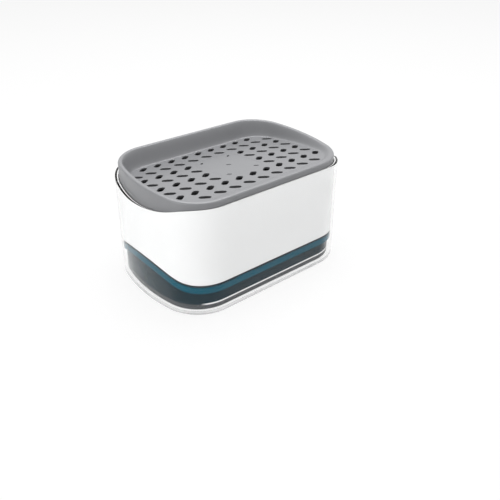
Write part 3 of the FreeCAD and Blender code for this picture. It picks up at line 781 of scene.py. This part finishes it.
def block_loop(bm, block_length, block_width, corner, line):
    """Rounded rectangle in plan, set on a height line."""
    verts = bmesh.ops.create_grid(bm, x_segments=1, y_segments=1, size=0.5)["verts"]
    bmesh.ops.scale(bm, verts=verts, vec=(block_length, block_width, 1))
    made = bmesh.ops.bevel(bm, geom=verts, offset=corner, offset_type="OFFSET", segments=8, profile=0.5,
                           affect="VERTICES", material=-1)
    face = next(f for v in made["verts"] for f in v.link_faces)
    edges = list(face.edges)
    for vert in list(face.verts):
        vert.co.z = line(vert.co)
    bmesh.ops.delete(bm, geom=[face], context="FACES_ONLY")

    def outward(co):
        x, y = block_length / 2 - corner, block_width / 2 - corner
        core = Vector((max(-x, min(x, co.x)), max(-y, min(y, co.y)), 0))
        return (Vector((co.x, co.y, 0)) - core).normalized()

    return Loop(bm, edges, outward)


def placed(bm, name, material):
    """Object in the scene from a mesh in the making."""
    mesh = bpy.data.meshes.new(name)
    bm.to_mesh(mesh)
    bm.free()
    mesh.materials.append(material)
    made = bpy.data.objects.new(name, mesh)
    bpy.context.scene.collection.objects.link(made)
    return made


def finished(bm, name, slot, body, *nodes, finish=None):
    """Close a mesh into a piece that rides on a body and stands for its CAD nodes."""
    bmesh.ops.remove_doubles(bm, verts=bm.verts, dist=WELD)
    bmesh.ops.recalc_face_normals(bm, faces=bm.faces)
    for face in bm.faces:
        face.smooth = len(face.verts) == 4
    for edge in bm.edges:
        edge.smooth = edge.calc_face_angle(0) < SHARP
    piece = placed(bm, name, finish_by(finish or FINISHES[slot]))
    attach(piece, body)
    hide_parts(*nodes)
    return piece


def turned(bm, outline, steps=72):
    """Round the corners of a closed outline of radius and height, and turn it about the pump's axis."""
    verts = [bm.verts.new((r, 0, z)) for r, z in outline]
    bm.faces.new(verts)
    made = bmesh.ops.bevel(bm, geom=verts, offset=settings().caddy_pump.turned_round, offset_type="OFFSET",
                           segments=2, profile=0.5, affect="VERTICES", material=-1, clamp_overlap=True)
    face = next(f for v in made["verts"] for f in v.link_faces)
    section = list(face.verts) + list(face.edges)
    bmesh.ops.delete(bm, geom=[face], context="FACES_ONLY")
    bmesh.ops.spin(bm, geom=section, cent=(0, 0, 0), axis=UP, angle=2 * math.pi, steps=steps,
                   use_merge=True)


def coiled(bm, edges, rise, turns, steps=64):
    """Wind a closed section about the pump's axis and close both of its ends."""
    section = list({vert for edge in edges for vert in edge.verts}) + edges
    total = round(turns * steps)
    made = bmesh.ops.spin(bm, geom=section, cent=(0, 0, 0), axis=UP, dvec=UP * (rise / total),
                          angle=2 * math.pi * turns, steps=total, use_merge=False)
    last = [g for g in made["geom_last"] if isinstance(g, bmesh.types.BMEdge)]
    for end in (edges, last):
        bmesh.ops.edgeloop_fill(bm, edges=end)


def plain_ring(name, slot, body, node, bore):
    """Turned ring that fills a node's height and radius round a bore."""
    low, high, outer = bottom(node), top(node), reach(node)
    bm = bmesh.new()
    turned(bm, [(bore, low), (outer, low), (outer, high), (bore, high)])
    finished(bm, name, slot, body, node)


def four_places(x, y):
    return [(sx * x, sy * y) for sx in (-1, 1) for sy in (-1, 1)]


def foot_place():
    """Middle of the right-hand back foot."""
    corner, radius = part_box("anti_slip_feet")[1], settings().caddy_walls.foot_radius
    return corner.x - radius, corner.y - radius


class CADDY_OT_clear_case(bpy.types.Operator):
    """Clear case with a rounded base, rim dips, tub pads and recesses for the feet"""
    bl_idname = "caddy.clear_case"
    bl_label = "Clear Case"

    def execute(self, context):
        sizes, plan = context.scene.caddy_walls, context.scene.caddy_plan
        low, rim = bottom("clear_case"), swelling(top("clear_case"), -plan.end_dip)
        wall, foot, edge = sizes.case_wall, sizes.base_round, sizes.rim_round
        floor, inner = low + sizes.case_floor, sizes.base_round - sizes.case_wall
        bm = bmesh.new()
        under = plan_loop(bm, foot, level(low))
        inside = under.copy()
        inside.run((foot * (1 - s), level(low + foot * (1 - c))) for s, c in quarter(7))
        inside.wall(raised(rim, -edge))
        inside.run((edge * (1 - c), raised(rim, edge * (s - 1))) for s, c in quarter(3))
        inside.run((wall - edge * (1 - s), raised(rim, edge * (c - 1))) for s, c in quarter(3))
        inside.wall(level(floor + inner))
        inside.run((wall + inner * (1 - c), level(floor + inner * (1 - s))) for s, c in quarter(6))
        recesses = []
        for x, y in four_places(*foot_place()):
            recess = circle_loop(bm, x, y, low, sizes.foot_radius + sizes.recess_gap)
            recesses.append(recess.copy())
            recess.to(0, level(top("anti_slip_feet"))).cap()
        pads = []
        for x, y in four_places(sizes.pad_x, sizes.pad_y):
            pad, seat = circle_loop(bm, x, y, floor, sizes.pad_radius), bottom("soap_tub")
            pads.append(pad.copy())
            pad.to(0, level(seat - sizes.pad_edge)).to(sizes.pad_edge, level(seat)).cap()
        fill(bm, [under] + recesses)
        fill(bm, [inside] + pads)
        for face in bm.faces:
            face.material_index = int(face.calc_center_median().z < low + foot / 2)
        case = finished(bm, "case_shell", "clear", "case", "clear_case")
        case.data.materials.append(finish_by(frosted_base))
        return {"FINISHED"}


class CADDY_OT_soap_tub(bpy.types.Operator):
    """Smoked tub with a thick rim that arches up at both ends, and the seal on that rim"""
    bl_idname = "caddy.soap_tub"
    bl_label = "Soap Tub"

    def execute(self, context):
        sizes, plan = context.scene.caddy_walls, context.scene.caddy_plan
        low, rim = bottom("soap_tub"), swelling(bottom("tub_seal"), plan.edge_arch)
        bead, wall = sizes.sleeve_inset, sizes.sleeve_inset + sizes.tub_standoff
        inner, foot, edge = wall + sizes.tub_wall, sizes.tub_round, sizes.edge_round
        floor, hollow, stand = low + sizes.tub_floor, sizes.hollow_round, low - sizes.tub_foot
        bm = bmesh.new()
        depth = bm.verts.layers.float.new("rim_depth")
        height = bm.verts.layers.float.new("foot_height")
        under = plan_loop(bm, wall + sizes.tub_foot_width, level(low))
        inside = under.copy().to(wall + sizes.tub_foot_width, level(stand)).to(wall + foot, level(stand))
        inside.run((wall + foot * (1 - s), level(stand + foot * (1 - c))) for s, c in quarter(4))
        inside.wall(raised(rim, -sizes.bead_height - edge))
        inside.to(wall - edge, raised(rim, -sizes.bead_height))
        inside.to(bead + edge, raised(rim, -sizes.bead_height))
        inside.to(bead, raised(rim, edge - sizes.bead_height))
        inside.to(bead, raised(rim, -edge)).to(bead + edge, rim).to(inner - edge, rim)
        inside.to(inner, raised(rim, -edge)).wall(level(floor + hollow))
        inside.run((inner + hollow * (1 - c), level(floor + hollow * (1 - s))) for s, c in quarter(6))
        fill(bm, [under])
        fill(bm, [inside])
        for vert in bm.verts:
            within = plan_depth(vert.co) > inner - WELD and vert.co.z > floor - WELD
            vert[depth] = rim(vert.co) - vert.co.z
            vert[height] = rim(vert.co) if within else vert.co.z
        finished(bm, "smoked_tub", "tub", "case", "soap_tub")
        self.seal(sizes, plan)
        return {"FINISHED"}

    def seal(self, sizes, plan):
        rim, edge = swelling(bottom("tub_seal"), plan.edge_arch), sizes.edge_round / 2
        height = top("tub_seal") - bottom("tub_seal") - plan.edge_arch
        outer, inner = sizes.sleeve_inset, sizes.sleeve_inset + sizes.seal_width
        bm = bmesh.new()
        start = plan_loop(bm, outer + edge, rim)
        ring = start.copy()
        ring.to(outer, raised(rim, edge)).to(outer, raised(rim, height - edge))
        ring.to(outer + edge, raised(rim, height)).to(inner - edge, raised(rim, height))
        ring.to(inner, raised(rim, height - edge))
        ring.to(inner, raised(rim, edge)).to(inner - edge, rim)
        bridge(ring, start)
        # The seal is dark as painted shadow of the gap under the sleeve's edge
        finished(bm, "rim_seal", "seal", "case", "tub_seal", finish=gap_shadow_silicone)


class CADDY_OT_white_sleeve(bpy.types.Operator):
    """White sleeve behind the clear wall, with the deck that the pump hangs from"""
    bl_idname = "caddy.white_sleeve"
    bl_label = "White Sleeve"

    def execute(self, context):
        sizes, plan = context.scene.caddy_walls, context.scene.caddy_plan
        upper = swelling(top("white_sleeve"), -plan.end_dip)
        lower = swelling(bottom("white_sleeve"), plan.edge_arch)
        outer, edge = sizes.sleeve_inset, sizes.edge_round
        inner, bend = outer + sizes.sleeve_wall, sizes.deck_round
        deck, under = bottom("deck_gasket"), top("ring_nut")
        bm = bmesh.new()
        start = plan_loop(bm, outer + edge, lower)
        ring = start.copy()
        ring.to(outer, raised(lower, edge)).to(outer, raised(upper, -edge)).to(outer + edge, upper)
        ring.to(inner - edge, upper).to(inner, raised(upper, -edge)).wall(level(deck + bend))
        ring.run((inner + bend * (1 - c), level(deck + bend * (1 - s))) for s, c in quarter(3))
        deck_top = ring.copy()
        skirt = start.copy().to(inner - edge, lower).to(inner, raised(lower, edge)).to(inner, level(under))
        pump = context.scene.caddy_pump
        holes = [circle_loop(bm, 0, 0, deck, pump.barrel_radius + pump.hole_gap, steps=64)]
        holes += [circle_loop(bm, x, 0, deck, sizes.vent_radius, steps=24)
                  for x in (-sizes.vent_x, sizes.vent_x)]
        fill(bm, [deck_top] + [hole.copy() for hole in holes])
        fill(bm, [skirt] + [hole.to(0, level(under)) for hole in holes], -UP)
        # Faces inside the sleeve, from the deck up, take the painted shade finish
        for face in bm.faces:
            middle = face.calc_center_median()
            face.material_index = int(plan_depth(middle) > inner - WELD and middle.z > deck - WELD)
        insert = finished(bm, "white_insert", "white", "insert", "white_sleeve")
        insert.data.materials.append(finish_by(inside_painted_shade))
        return {"FINISHED"}


def tray_floor(by):
    """Height line of the tray's falling floor, raised by a distance."""
    sizes = settings().caddy_tray
    return leaning(sizes.floor_height + by, -math.tan(sizes.floor_fall))


def tray_normal():
    return Vector((0, math.tan(settings().caddy_tray.floor_fall), 1)).normalized()


class CADDY_OT_sponge_tray(bpy.types.Operator):
    """Press tray: slotted floor that falls to the back, dished wall, rising rim, skirt and soap pan"""
    bl_idname = "caddy.sponge_tray"
    bl_label = "Sponge Tray"

    def execute(self, context):
        sizes, edge = context.scene.caddy_tray, context.scene.caddy_walls.edge_round
        low, inner = bottom("sponge_tray"), sizes.inset + sizes.wall
        rim = leaning(sizes.rim_height, math.tan(sizes.rim_rise))
        thick = sizes.floor_thickness
        bm = bmesh.new()
        foot = plan_loop(bm, sizes.inset + edge, level(low))
        dish = foot.copy().to(sizes.inset, level(low + edge)).wall(raised(rim, -sizes.rim_round))
        dish.run((sizes.inset + sizes.rim_round * (1 - c), raised(rim, sizes.rim_round * (s - 1)))
                 for s, c in quarter())
        dish.run(self.dish_wall(0, 0))
        shell = foot.copy().to(inner - edge, level(low)).to(inner, level(low + edge))
        underside = self.dish_wall(sizes.dish_shell, thick)[SHELL_START:]
        shell.run((max(inset, inner), line) for inset, line in underside)
        slots = [self.slot(bm, *spot) for spot in self.slot_places()]
        pocket = block_loop(bm, sizes.plate_length, sizes.plate_width, sizes.plate_corner, tray_floor(0))
        fill(bm, [dish, pocket.copy()] + [slot.copy() for slot in slots], tray_normal())
        for slot in slots:
            lip = sizes.slot_lip
            slot.run((lip * s, tray_floor(-lip * (1 - c))) for s, c in quarter(3))
            slot.to(lip - sizes.slot_draft, tray_floor(-thick))
        pan = self.pan(bm, pocket)
        fill(bm, [shell, pan] + slots, -tray_normal())
        finished(bm, "press_tray", "tray", "tray", "sponge_tray")
        return {"FINISHED"}

    def dish_wall(self, out, down):
        """Path from the rim down the dished wall to the floor, moved out and down for its underside."""
        sizes = settings().caddy_tray
        rim_slope, floor_slope = math.tan(sizes.rim_rise), -math.tan(sizes.floor_fall)
        path = []
        for part in [k / DISH_STEPS for k in range(DISH_STEPS + 1)]:
            climb = (1 + math.cos(math.pi * part)) / 2
            height = sizes.floor_height + (sizes.rim_height - sizes.floor_height) * climb - down
            slope = floor_slope + (rim_slope - floor_slope) * climb
            inset = sizes.inset + sizes.rim_width + sizes.dish_run * part - out
            path.append((inset, leaning(height, slope)))
        return path

    def slot_places(self):
        """Middle and lean of each drain slot: full rows front and back, others beside the outlet plate."""
        sizes = settings().caddy_tray
        places = []
        for row in range(sizes.slot_rows):
            from_edge = min(row, sizes.slot_rows - 1 - row)
            columns = sizes.slot_columns - (from_edge == 0)
            y = ((sizes.slot_rows - 1) / 2 - row) * sizes.slot_pitch_y
            for column in range(-columns, columns + 1):
                if from_edge < FULL_ROWS or abs(column) > PLATE_COLUMNS:
                    lean = sizes.slot_lean * (1 if row % 2 == 0 else -1)
                    places.append((Vector((column * sizes.slot_pitch_x, y, 0)), lean))
        return places

    def slot(self, bm, place, lean):
        """Slot with its lip, kept clear of the dished wall's foot."""
        sizes, lip = settings().caddy_tray, settings().caddy_tray.slot_lip
        half = (sizes.slot_length - sizes.slot_width) / 2
        foot = sizes.inset + sizes.rim_width + sizes.dish_run + sizes.slot_margin
        way = Vector((math.cos(lean), math.sin(lean), 0)) * half
        for end in (place + way, place - way):
            normal = plan_normal(end)
            over = sizes.slot_width / 2 + lip - (plan_depth(end) - foot)
            if over > 0:
                place = place - normal * over
        return slot_loop(bm, place, lean, sizes.slot_length + 2 * lip, sizes.slot_width + 2 * lip,
                         tray_floor(0))

    def pan(self, bm, pocket):
        """Soap pan under the outlet plate: ledge, pan floor and the boss round the spigot."""
        sizes = settings().caddy_tray
        ledge, wall, edge = sizes.plate_ledge, sizes.pan_wall, settings().caddy_walls.edge_round
        pan_z, head = top("pump_head"), top("pump_head") - settings().caddy_pump.spigot_height
        under, boss = pan_z - sizes.pan_floor, sizes.socket_radius - sizes.boss_radius
        pocket.to(0, tray_floor(-sizes.plate_thickness))
        pocket.to(ledge, tray_floor(-sizes.plate_thickness)).to(ledge, level(pan_z))
        socket = circle_loop(bm, 0, 0, pan_z, sizes.socket_radius, steps=48)
        fill(bm, [pocket, socket.copy()])
        socket.to(0, level(head)).to(edge + boss, level(head)).to(boss, level(head + edge))
        outer = block_loop(bm, sizes.plate_length + 2 * wall, sizes.plate_width + 2 * wall,
                           sizes.plate_corner + wall, tray_floor(-sizes.floor_thickness))
        edges = outer.copy()
        outer.to(0, level(under + edge)).to(edge, level(under))
        fill(bm, [outer, socket.to(boss, level(under))], -UP)
        return edges


class CADDY_OT_soap_plate(bpy.types.Operator):
    """Smooth plate in the middle of the tray, with five small soap outlets"""
    bl_idname = "caddy.soap_plate"
    bl_label = "Soap Plate"

    def execute(self, context):
        sizes = context.scene.caddy_tray
        edge, lip, thick = sizes.plate_edge, sizes.outlet_lip, sizes.plate_thickness
        bm = bmesh.new()
        under = block_loop(bm, sizes.plate_length, sizes.plate_width, sizes.plate_corner, tray_floor(-edge))
        upper = under.copy().to(edge, tray_floor(0))
        outlets = []
        for x, y in four_places(sizes.slot_pitch_x, OUTLET_ROW * sizes.slot_pitch_y) + [(0, 0)]:
            lean = sizes.slot_lean if y > 0 else -sizes.slot_lean
            outlets.append(slot_loop(bm, (x, y, 0), lean, sizes.outlet_length + 2 * lip,
                                     sizes.outlet_width + 2 * lip, tray_floor(0)))
        fill(bm, [upper] + [outlet.copy() for outlet in outlets], tray_normal())
        for outlet in outlets:
            outlet.run((lip * s, tray_floor(-lip * (1 - c))) for s, c in quarter(3))
            outlet.to(lip, tray_floor(-thick))
        fill(bm, [under.to(0, tray_floor(-thick))] + outlets, -tray_normal())
        finished(bm, "soap_plate", "tray", "tray", "outlet_plate")
        return {"FINISHED"}


class CADDY_OT_grip_feet(bpy.types.Operator):
    """Four soft feet with grip grooves underneath"""
    bl_idname = "caddy.grip_feet"
    bl_label = "Grip Feet"

    def execute(self, context):
        sizes = context.scene.caddy_walls
        edge, groove = sizes.foot_round, sizes.foot_groove
        bm = bmesh.new()
        for x, y in four_places(*foot_place()):
            foot = circle_loop(bm, x, y, top("anti_slip_feet"), sizes.foot_radius, steps=48)
            foot.copy().cap()
            foot.to(0, level(edge)).run((edge * (1 - c), level(edge * (1 - s))) for s, c in quarter(4))
            for start in GRIP_GROOVES:
                for inset, z in ((0, 0), (groove, groove), (3 * groove, groove), (4 * groove, 0)):
                    foot.to(start + inset, level(z))
            foot.cap()
        finished(bm, "grip_feet", "feet", "case", "anti_slip_feet")
        return {"FINISHED"}


class CADDY_OT_pump_body(bpy.types.Operator):
    """Pump hung from the deck: gasket, threaded barrel, valve stop, clamp nut and fluted guide cap"""
    bl_idname = "caddy.pump_body"
    bl_label = "Pump Body"

    def execute(self, context):
        sizes = context.scene.caddy_pump
        plain_ring("gasket_ring", "seal", "insert", "deck_gasket", sizes.barrel_radius + sizes.hole_gap)
        self.barrel(sizes)
        plain_ring("valve_stop", "pump", "insert", "ball_retainer", sizes.stop_bore)
        self.clamp_nut(sizes)
        self.guide_cap(sizes)
        return {"FINISHED"}

    def barrel(self, sizes):
        low, high, flange = bottom("pump_barrel"), top("pump_barrel"), reach("pump_barrel")
        housing = top("inlet_tube")
        under = housing + sizes.housing_height
        floor = under + sizes.barrel_floor
        deck = top("deck_gasket")
        ledge = deck + sizes.flange_thickness
        seat = floor - sizes.valve_depth
        bm = bmesh.new()
        turned(bm, [(sizes.inlet_bore, low), (sizes.nozzle_radius, low), (sizes.nozzle_radius, housing),
                    (sizes.housing_radius, housing), (sizes.housing_radius, under),
                    (sizes.barrel_radius, under), (sizes.barrel_radius, deck), (flange, deck),
                    (flange, ledge), (sizes.neck_radius, ledge), (sizes.neck_radius, high),
                    (sizes.barrel_bore, high), (sizes.barrel_bore, floor), (sizes.valve_bore, floor),
                    (sizes.valve_bore, seat), (sizes.inlet_bore, seat)])
        self.thread(bm, sizes, under + sizes.thread_start, bottom("ring_nut") - sizes.thread_end)
        finished(bm, "pump_cylinder", "pump", "insert", "pump_barrel")

    def thread(self, bm, sizes, low, high):
        """Screw thread on the barrel below the nut."""
        pitch, root = sizes.thread_pitch, sizes.barrel_radius - sizes.thread_root
        crest = root + sizes.thread_height
        corners = ((root, 0, low), (crest, 0, low + pitch / 4), (root, 0, low + pitch / 2))
        verts = [bm.verts.new(co) for co in corners]
        edges = [bm.edges.new((a, b)) for a, b in zip(verts, verts[1:] + verts[:1])]
        rise = high - low - pitch / 2
        coiled(bm, edges, rise, rise / pitch)

    def clamp_nut(self, sizes):
        """Nut with a finger grip scooped out at each step round its rim."""
        low, high, edge = bottom("ring_nut"), top("ring_nut"), sizes.turned_round
        steps = GRIP_STEPS * sizes.nut_grips
        bm = bmesh.new()
        under = circle_loop(bm, 0, 0, low, sizes.nut_radius - edge, steps)
        for vert in {v for e in under.edges for v in e.verts}:
            turn = math.remainder(math.atan2(vert.co.y, vert.co.x), 2 * math.pi / sizes.nut_grips)
            off = sizes.nut_radius * math.sin(turn)
            scoop = math.sqrt(max(0, sizes.nut_grip ** 2 - off ** 2))
            vert.co -= vert.co.xy.to_3d().normalized() * scoop
        rim = under.copy()
        rim.to(-edge, level(low + edge)).to(-edge, level(high - edge)).to(0, level(high))
        bore = circle_loop(bm, 0, 0, high, sizes.barrel_radius + sizes.fit_gap + edge, steps)
        bridge(rim, bore)
        bore.to(edge, level(high - edge)).to(edge, level(low + edge)).to(0, level(low))
        bridge(bore, under)
        finished(bm, "clamp_nut", "pump", "insert", "ring_nut")

    def guide_cap(self, sizes):
        """Screw cap with flutes round its wall and the tube that guides the stem."""
        low, high = top("deck_gasket") + sizes.flange_thickness, top("guide_cap")
        guide, outer, under = bottom("guide_cap"), reach("guide_cap"), high - sizes.cap_top
        inner, edge = outer - sizes.cap_wall, sizes.cap_chamfer
        grip = (low + sizes.flute_start, high - sizes.flute_end)
        bm = bmesh.new()
        turned(bm, [(sizes.guide_bore, guide), (sizes.guide_radius, guide), (sizes.guide_radius, under),
                    (inner, under), (inner, low), (outer, low), (outer, grip[0]), (outer, grip[1]),
                    (outer, high - edge), (outer - edge, high), (sizes.guide_bore, high)],
               FLUTE_STEPS * sizes.cap_flutes)
        for vert in bm.verts:
            if vert.co.xy.length > outer - WELD and grip[0] < vert.co.z < grip[1]:
                wave = (1 + math.cos(sizes.cap_flutes * math.atan2(vert.co.y, vert.co.x))) / 2
                vert.co -= vert.co.xy.to_3d().normalized() * sizes.cap_flute * wave
        finished(bm, "guide_collar", "white", "insert", "guide_cap")


class CADDY_OT_coil_spring(bpy.types.Operator):
    """Return spring wound from round wire"""
    bl_idname = "caddy.coil_spring"
    bl_label = "Coil Spring"

    def execute(self, context):
        sizes = context.scene.caddy_pump
        wire, seat = sizes.wire_radius, top("deck_gasket") + sizes.flange_thickness
        low, high = bottom("return_spring") + wire, top("return_spring") - wire
        start = Matrix.Translation((reach("return_spring") - wire, 0, low))
        start @= Matrix.Rotation(math.pi / 2, 4, "X")
        bm = bmesh.new()
        section = bmesh.ops.create_circle(bm, radius=wire, segments=14, matrix=start)
        coiled(bm, rim_of(section["verts"]), high - low, sizes.spring_turns)
        spring = finished(bm, "coil_spring", "spring", "insert", "return_spring")
        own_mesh(spring)
        return {"FINISHED"}


class CADDY_OT_plunger(bpy.types.Operator):
    """Plunger: stem, piston with its wiper seal, and the head that carries the tray"""
    bl_idname = "caddy.plunger"
    bl_label = "Plunger"

    def execute(self, context):
        sizes = context.scene.caddy_pump
        plain_ring("plunger_stem", "pump", "plunger", "pump_stem", sizes.stem_bore)
        self.piston(sizes)
        self.wiper(sizes)
        self.head(sizes)
        return {"FINISHED"}

    def piston(self, sizes):
        low, high, outer = bottom("piston"), top("piston"), reach("piston")
        seal_low, seal_high, root = bottom("piston_seal"), top("piston_seal"), outer - sizes.groove_depth
        socket, seat = reach("pump_stem") + sizes.fit_gap, low + sizes.piston_floor
        bm = bmesh.new()
        turned(bm, [(sizes.stem_bore, low), (outer, low), (outer, seal_low), (root, seal_low),
                    (root, seal_high), (outer, seal_high), (outer, high), (socket, high), (socket, seat),
                    (sizes.stem_bore, seat)])
        finished(bm, "plunger_piston", "pump", "plunger", "piston")

    def wiper(self, sizes):
        """Seal with two wiping lips."""
        low, high, outer = bottom("piston_seal"), top("piston_seal"), reach("piston_seal")
        inner = reach("piston") - sizes.groove_depth + sizes.fit_gap
        middle, lip = (low + high) / 2, sizes.wiper_lip
        bm = bmesh.new()
        turned(bm, [(inner, low), (outer - lip, low), (outer, low + lip), (outer - lip, middle),
                    (outer, high - lip), (outer - lip, high), (inner, high)])
        finished(bm, "wiper_seal", "seal", "plunger", "piston_seal")

    def head(self, sizes):
        """Disc with a hub below, and a spigot above that has a groove for its ring."""
        low, high, outer = bottom("pump_head"), top("pump_head"), reach("pump_head")
        disc, deck = low + sizes.hub_height, high - sizes.spigot_height
        seat, ceiling = low + sizes.stem_seat, low + sizes.stem_seat + sizes.chamber_height
        socket, edge, spigot = reach("pump_stem") + sizes.fit_gap, sizes.head_round, sizes.spigot_radius
        ring_low, ring_high = bottom("spigot_ring"), top("spigot_ring")
        wire = (ring_high - ring_low) / 2 + sizes.fit_gap
        ring_radius, ring_z = reach("spigot_ring") - (ring_high - ring_low) / 2, (ring_low + ring_high) / 2
        mouth = math.acos((spigot - ring_radius) / wire)
        sweep = 2 * mouth - 2 * math.pi
        turns = [2 * math.pi - mouth + sweep * k / RING_STEPS for k in range(RING_STEPS + 1)]
        bm = bmesh.new()
        turned(bm, [(socket, low), (sizes.hub_radius, low), (sizes.hub_radius, disc), (outer, disc),
                    (outer, deck - edge), (outer - edge * MID_ROUND, deck - edge * MID_ROUND),
                    (outer - edge, deck), (spigot, deck)] +
               [(ring_radius + wire * math.cos(t), ring_z + wire * math.sin(t)) for t in turns] +
               [(spigot, high), (sizes.outlet_bore, high), (sizes.outlet_bore, ceiling),
                (sizes.chamber_bore, ceiling), (sizes.chamber_bore, seat), (socket, seat)])
        finished(bm, "press_head", "white", "plunger", "pump_head")


class CADDY_OT_stage(bpy.types.Operator):
    """Pale floor, soft studio light and the camera"""
    bl_idname = "caddy.stage"
    bl_label = "Studio Stage"

    def execute(self, context):
        context.scene.view_settings.view_transform = "Standard"
        self.floor()
        self.world(context.scene)
        stage = context.scene.caddy_stage
        self.soft_box("overhead_box", stage.overhead, stage.overhead_place, OVERHEAD_SIZE, OVERHEAD_AIM)
        self.soft_box("side_strip", stage.side, stage.side_place, STRIP_SIZE, STRIP_AIM)
        self.camera(context.scene, stage)
        return {"FINISHED"}

    def floor(self):
        finish = Finish("pale_floor", {"Base Color": (0.9, 0.9, 0.9, 1), "Roughness": 0.7})
        glow = finish.node("ShaderNodeEmission", {}, {"Color": (1, 1, 1, 1), "Strength": 1.0})
        bm = bmesh.new()
        bmesh.ops.create_grid(bm, x_segments=8, y_segments=8, size=FLOOR_SIZE)
        floor = placed(bm, "pale_floor", finish.blend(self.seen_rays(finish) * FLOOR_GLOW, glow))

    def seen_rays(self, finish):
        """One for rays that show the background: straight, mirrored or through glass."""
        rays = [finish.node("ShaderNodeLightPath", {}, {}, kind)
                for kind in ("Is Camera Ray", "Is Glossy Ray", "Is Transmission Ray")]
        both = finish.node("ShaderNodeMath", {"operation": "MAXIMUM"}, {0: rays[0], 1: rays[1]})
        return finish.node("ShaderNodeMath", {"operation": "MAXIMUM"}, {0: both, 1: rays[2]})

    def world(self, scene):
        scene.world = scene.world or bpy.data.worlds.new("studio")
        scene.world.use_nodes = True
        sky = NodeTree(scene.world.node_tree)
        sky.tree.nodes.clear()
        ambient = scene.caddy_stage.ambient
        strength = self.seen_rays(sky) * (1 - ambient) + ambient
        light = sky.node("ShaderNodeBackground", {}, {"Color": (1, 1, 1, 1), "Strength": strength})
        end = sky.tree.nodes.new("ShaderNodeOutputWorld")
        sky.feed(end.inputs["Surface"], light)

    def soft_box(self, name, watts, place, size, aim):
        """Rectangular lamp that faces a height on the caddy's axis."""
        lamp = bpy.data.lights.new(name, "AREA")
        lamp.energy, lamp.shape = watts, "RECTANGLE"
        lamp.size, lamp.size_y = size
        box = bpy.data.objects.new(name, lamp)
        box.location = place
        box.rotation_euler = (UP * aim - Vector(place)).to_track_quat("-Z", "Y").to_euler()
        bpy.context.scene.collection.objects.link(box)

    def camera(self, scene, stage):
        turn, climb = stage.azimuth, stage.elevation
        flat = math.cos(climb)
        back = Vector((math.sin(turn) * flat, -math.cos(turn) * flat, math.sin(climb)))
        across = Vector((math.cos(turn), math.sin(turn), 0))
        upright = back.cross(across)
        right = across * math.cos(stage.roll) + upright * math.sin(stage.roll)
        data = bpy.data.cameras.new("camera")
        data.lens, data.sensor_width = stage.lens, 36
        data.shift_x, data.shift_y = stage.shift_x, stage.shift_y
        data.clip_start, data.clip_end = 0.01, 20
        camera = bpy.data.objects.new("camera", data)
        camera.matrix_world = Matrix.Translation(back * stage.distance + UP * stage.aim_height) @ Matrix(
            (right, back.cross(right), back)).transposed().to_4x4()
        scene.collection.objects.link(camera)
        scene.camera = camera


class CADDY_OT_carried_finishes(bpy.types.Operator):
    """Procedural finishes on the CAD nodes that keep their shape"""
    bl_idname = "caddy.carried_finishes"
    bl_label = "Carried Finishes"

    def execute(self, context):
        for subpart in frame["record"]["subparts"]:
            node = frame["nodes"][subpart["node"]]
            for place in node.material_slots:
                place.material = finish_by(FINISHES[subpart["material_slot"]])
        return {"FINISHED"}


class CADDY_PT_sidebar(bpy.types.Panel):
    """Buttons and sizes of the caddy"""
    bl_idname = "CADDY_PT_sidebar"
    bl_label = "Soap Pump Caddy"
    bl_space_type = "VIEW_3D"
    bl_region_type = "UI"
    bl_category = "Caddy"

    def draw(self, context):
        for operator in OPERATORS:
            self.layout.operator(operator.bl_idname)
        for group in GROUPS:
            box = self.layout.box()
            for key in GROUPS[group].__annotations__:
                box.prop(getattr(context.scene, group), key)


GROUPS = {"caddy_plan": CaddyPlanSizes, "caddy_walls": CaddyWallSizes, "caddy_tray": CaddyTraySizes,
          "caddy_pump": CaddyPumpSizes, "caddy_colours": CaddyColours, "caddy_stage": CaddyStage}
OPERATORS = (CADDY_OT_carried_finishes, CADDY_OT_clear_case, CADDY_OT_soap_tub, CADDY_OT_white_sleeve,
             CADDY_OT_sponge_tray, CADDY_OT_soap_plate, CADDY_OT_grip_feet, CADDY_OT_pump_body,
             CADDY_OT_coil_spring, CADDY_OT_plunger, CADDY_OT_stage)


def register():
    for group in GROUPS.values():
        bpy.utils.register_class(group)
    for operator in OPERATORS:
        bpy.utils.register_class(operator)
    bpy.utils.register_class(CADDY_PT_sidebar)
    for name, group in GROUPS.items():
        setattr(bpy.types.Scene, name, PointerProperty(type=group))


def unregister():
    for name in GROUPS:
        delattr(bpy.types.Scene, name)
    bpy.utils.unregister_class(CADDY_PT_sidebar)
    for piece in reversed(OPERATORS + tuple(GROUPS.values())):
        bpy.utils.unregister_class(piece)


def main():
    register()
    bpy.ops.caddy.carried_finishes()
    bpy.ops.caddy.clear_case()
    bpy.ops.caddy.soap_tub()
    bpy.ops.caddy.white_sleeve()
    bpy.ops.caddy.sponge_tray()
    bpy.ops.caddy.soap_plate()
    bpy.ops.caddy.grip_feet()
    bpy.ops.caddy.pump_body()
    bpy.ops.caddy.coil_spring()
    bpy.ops.caddy.plunger()
    bpy.ops.caddy.stage()


if __name__ == "__main__":
    main()
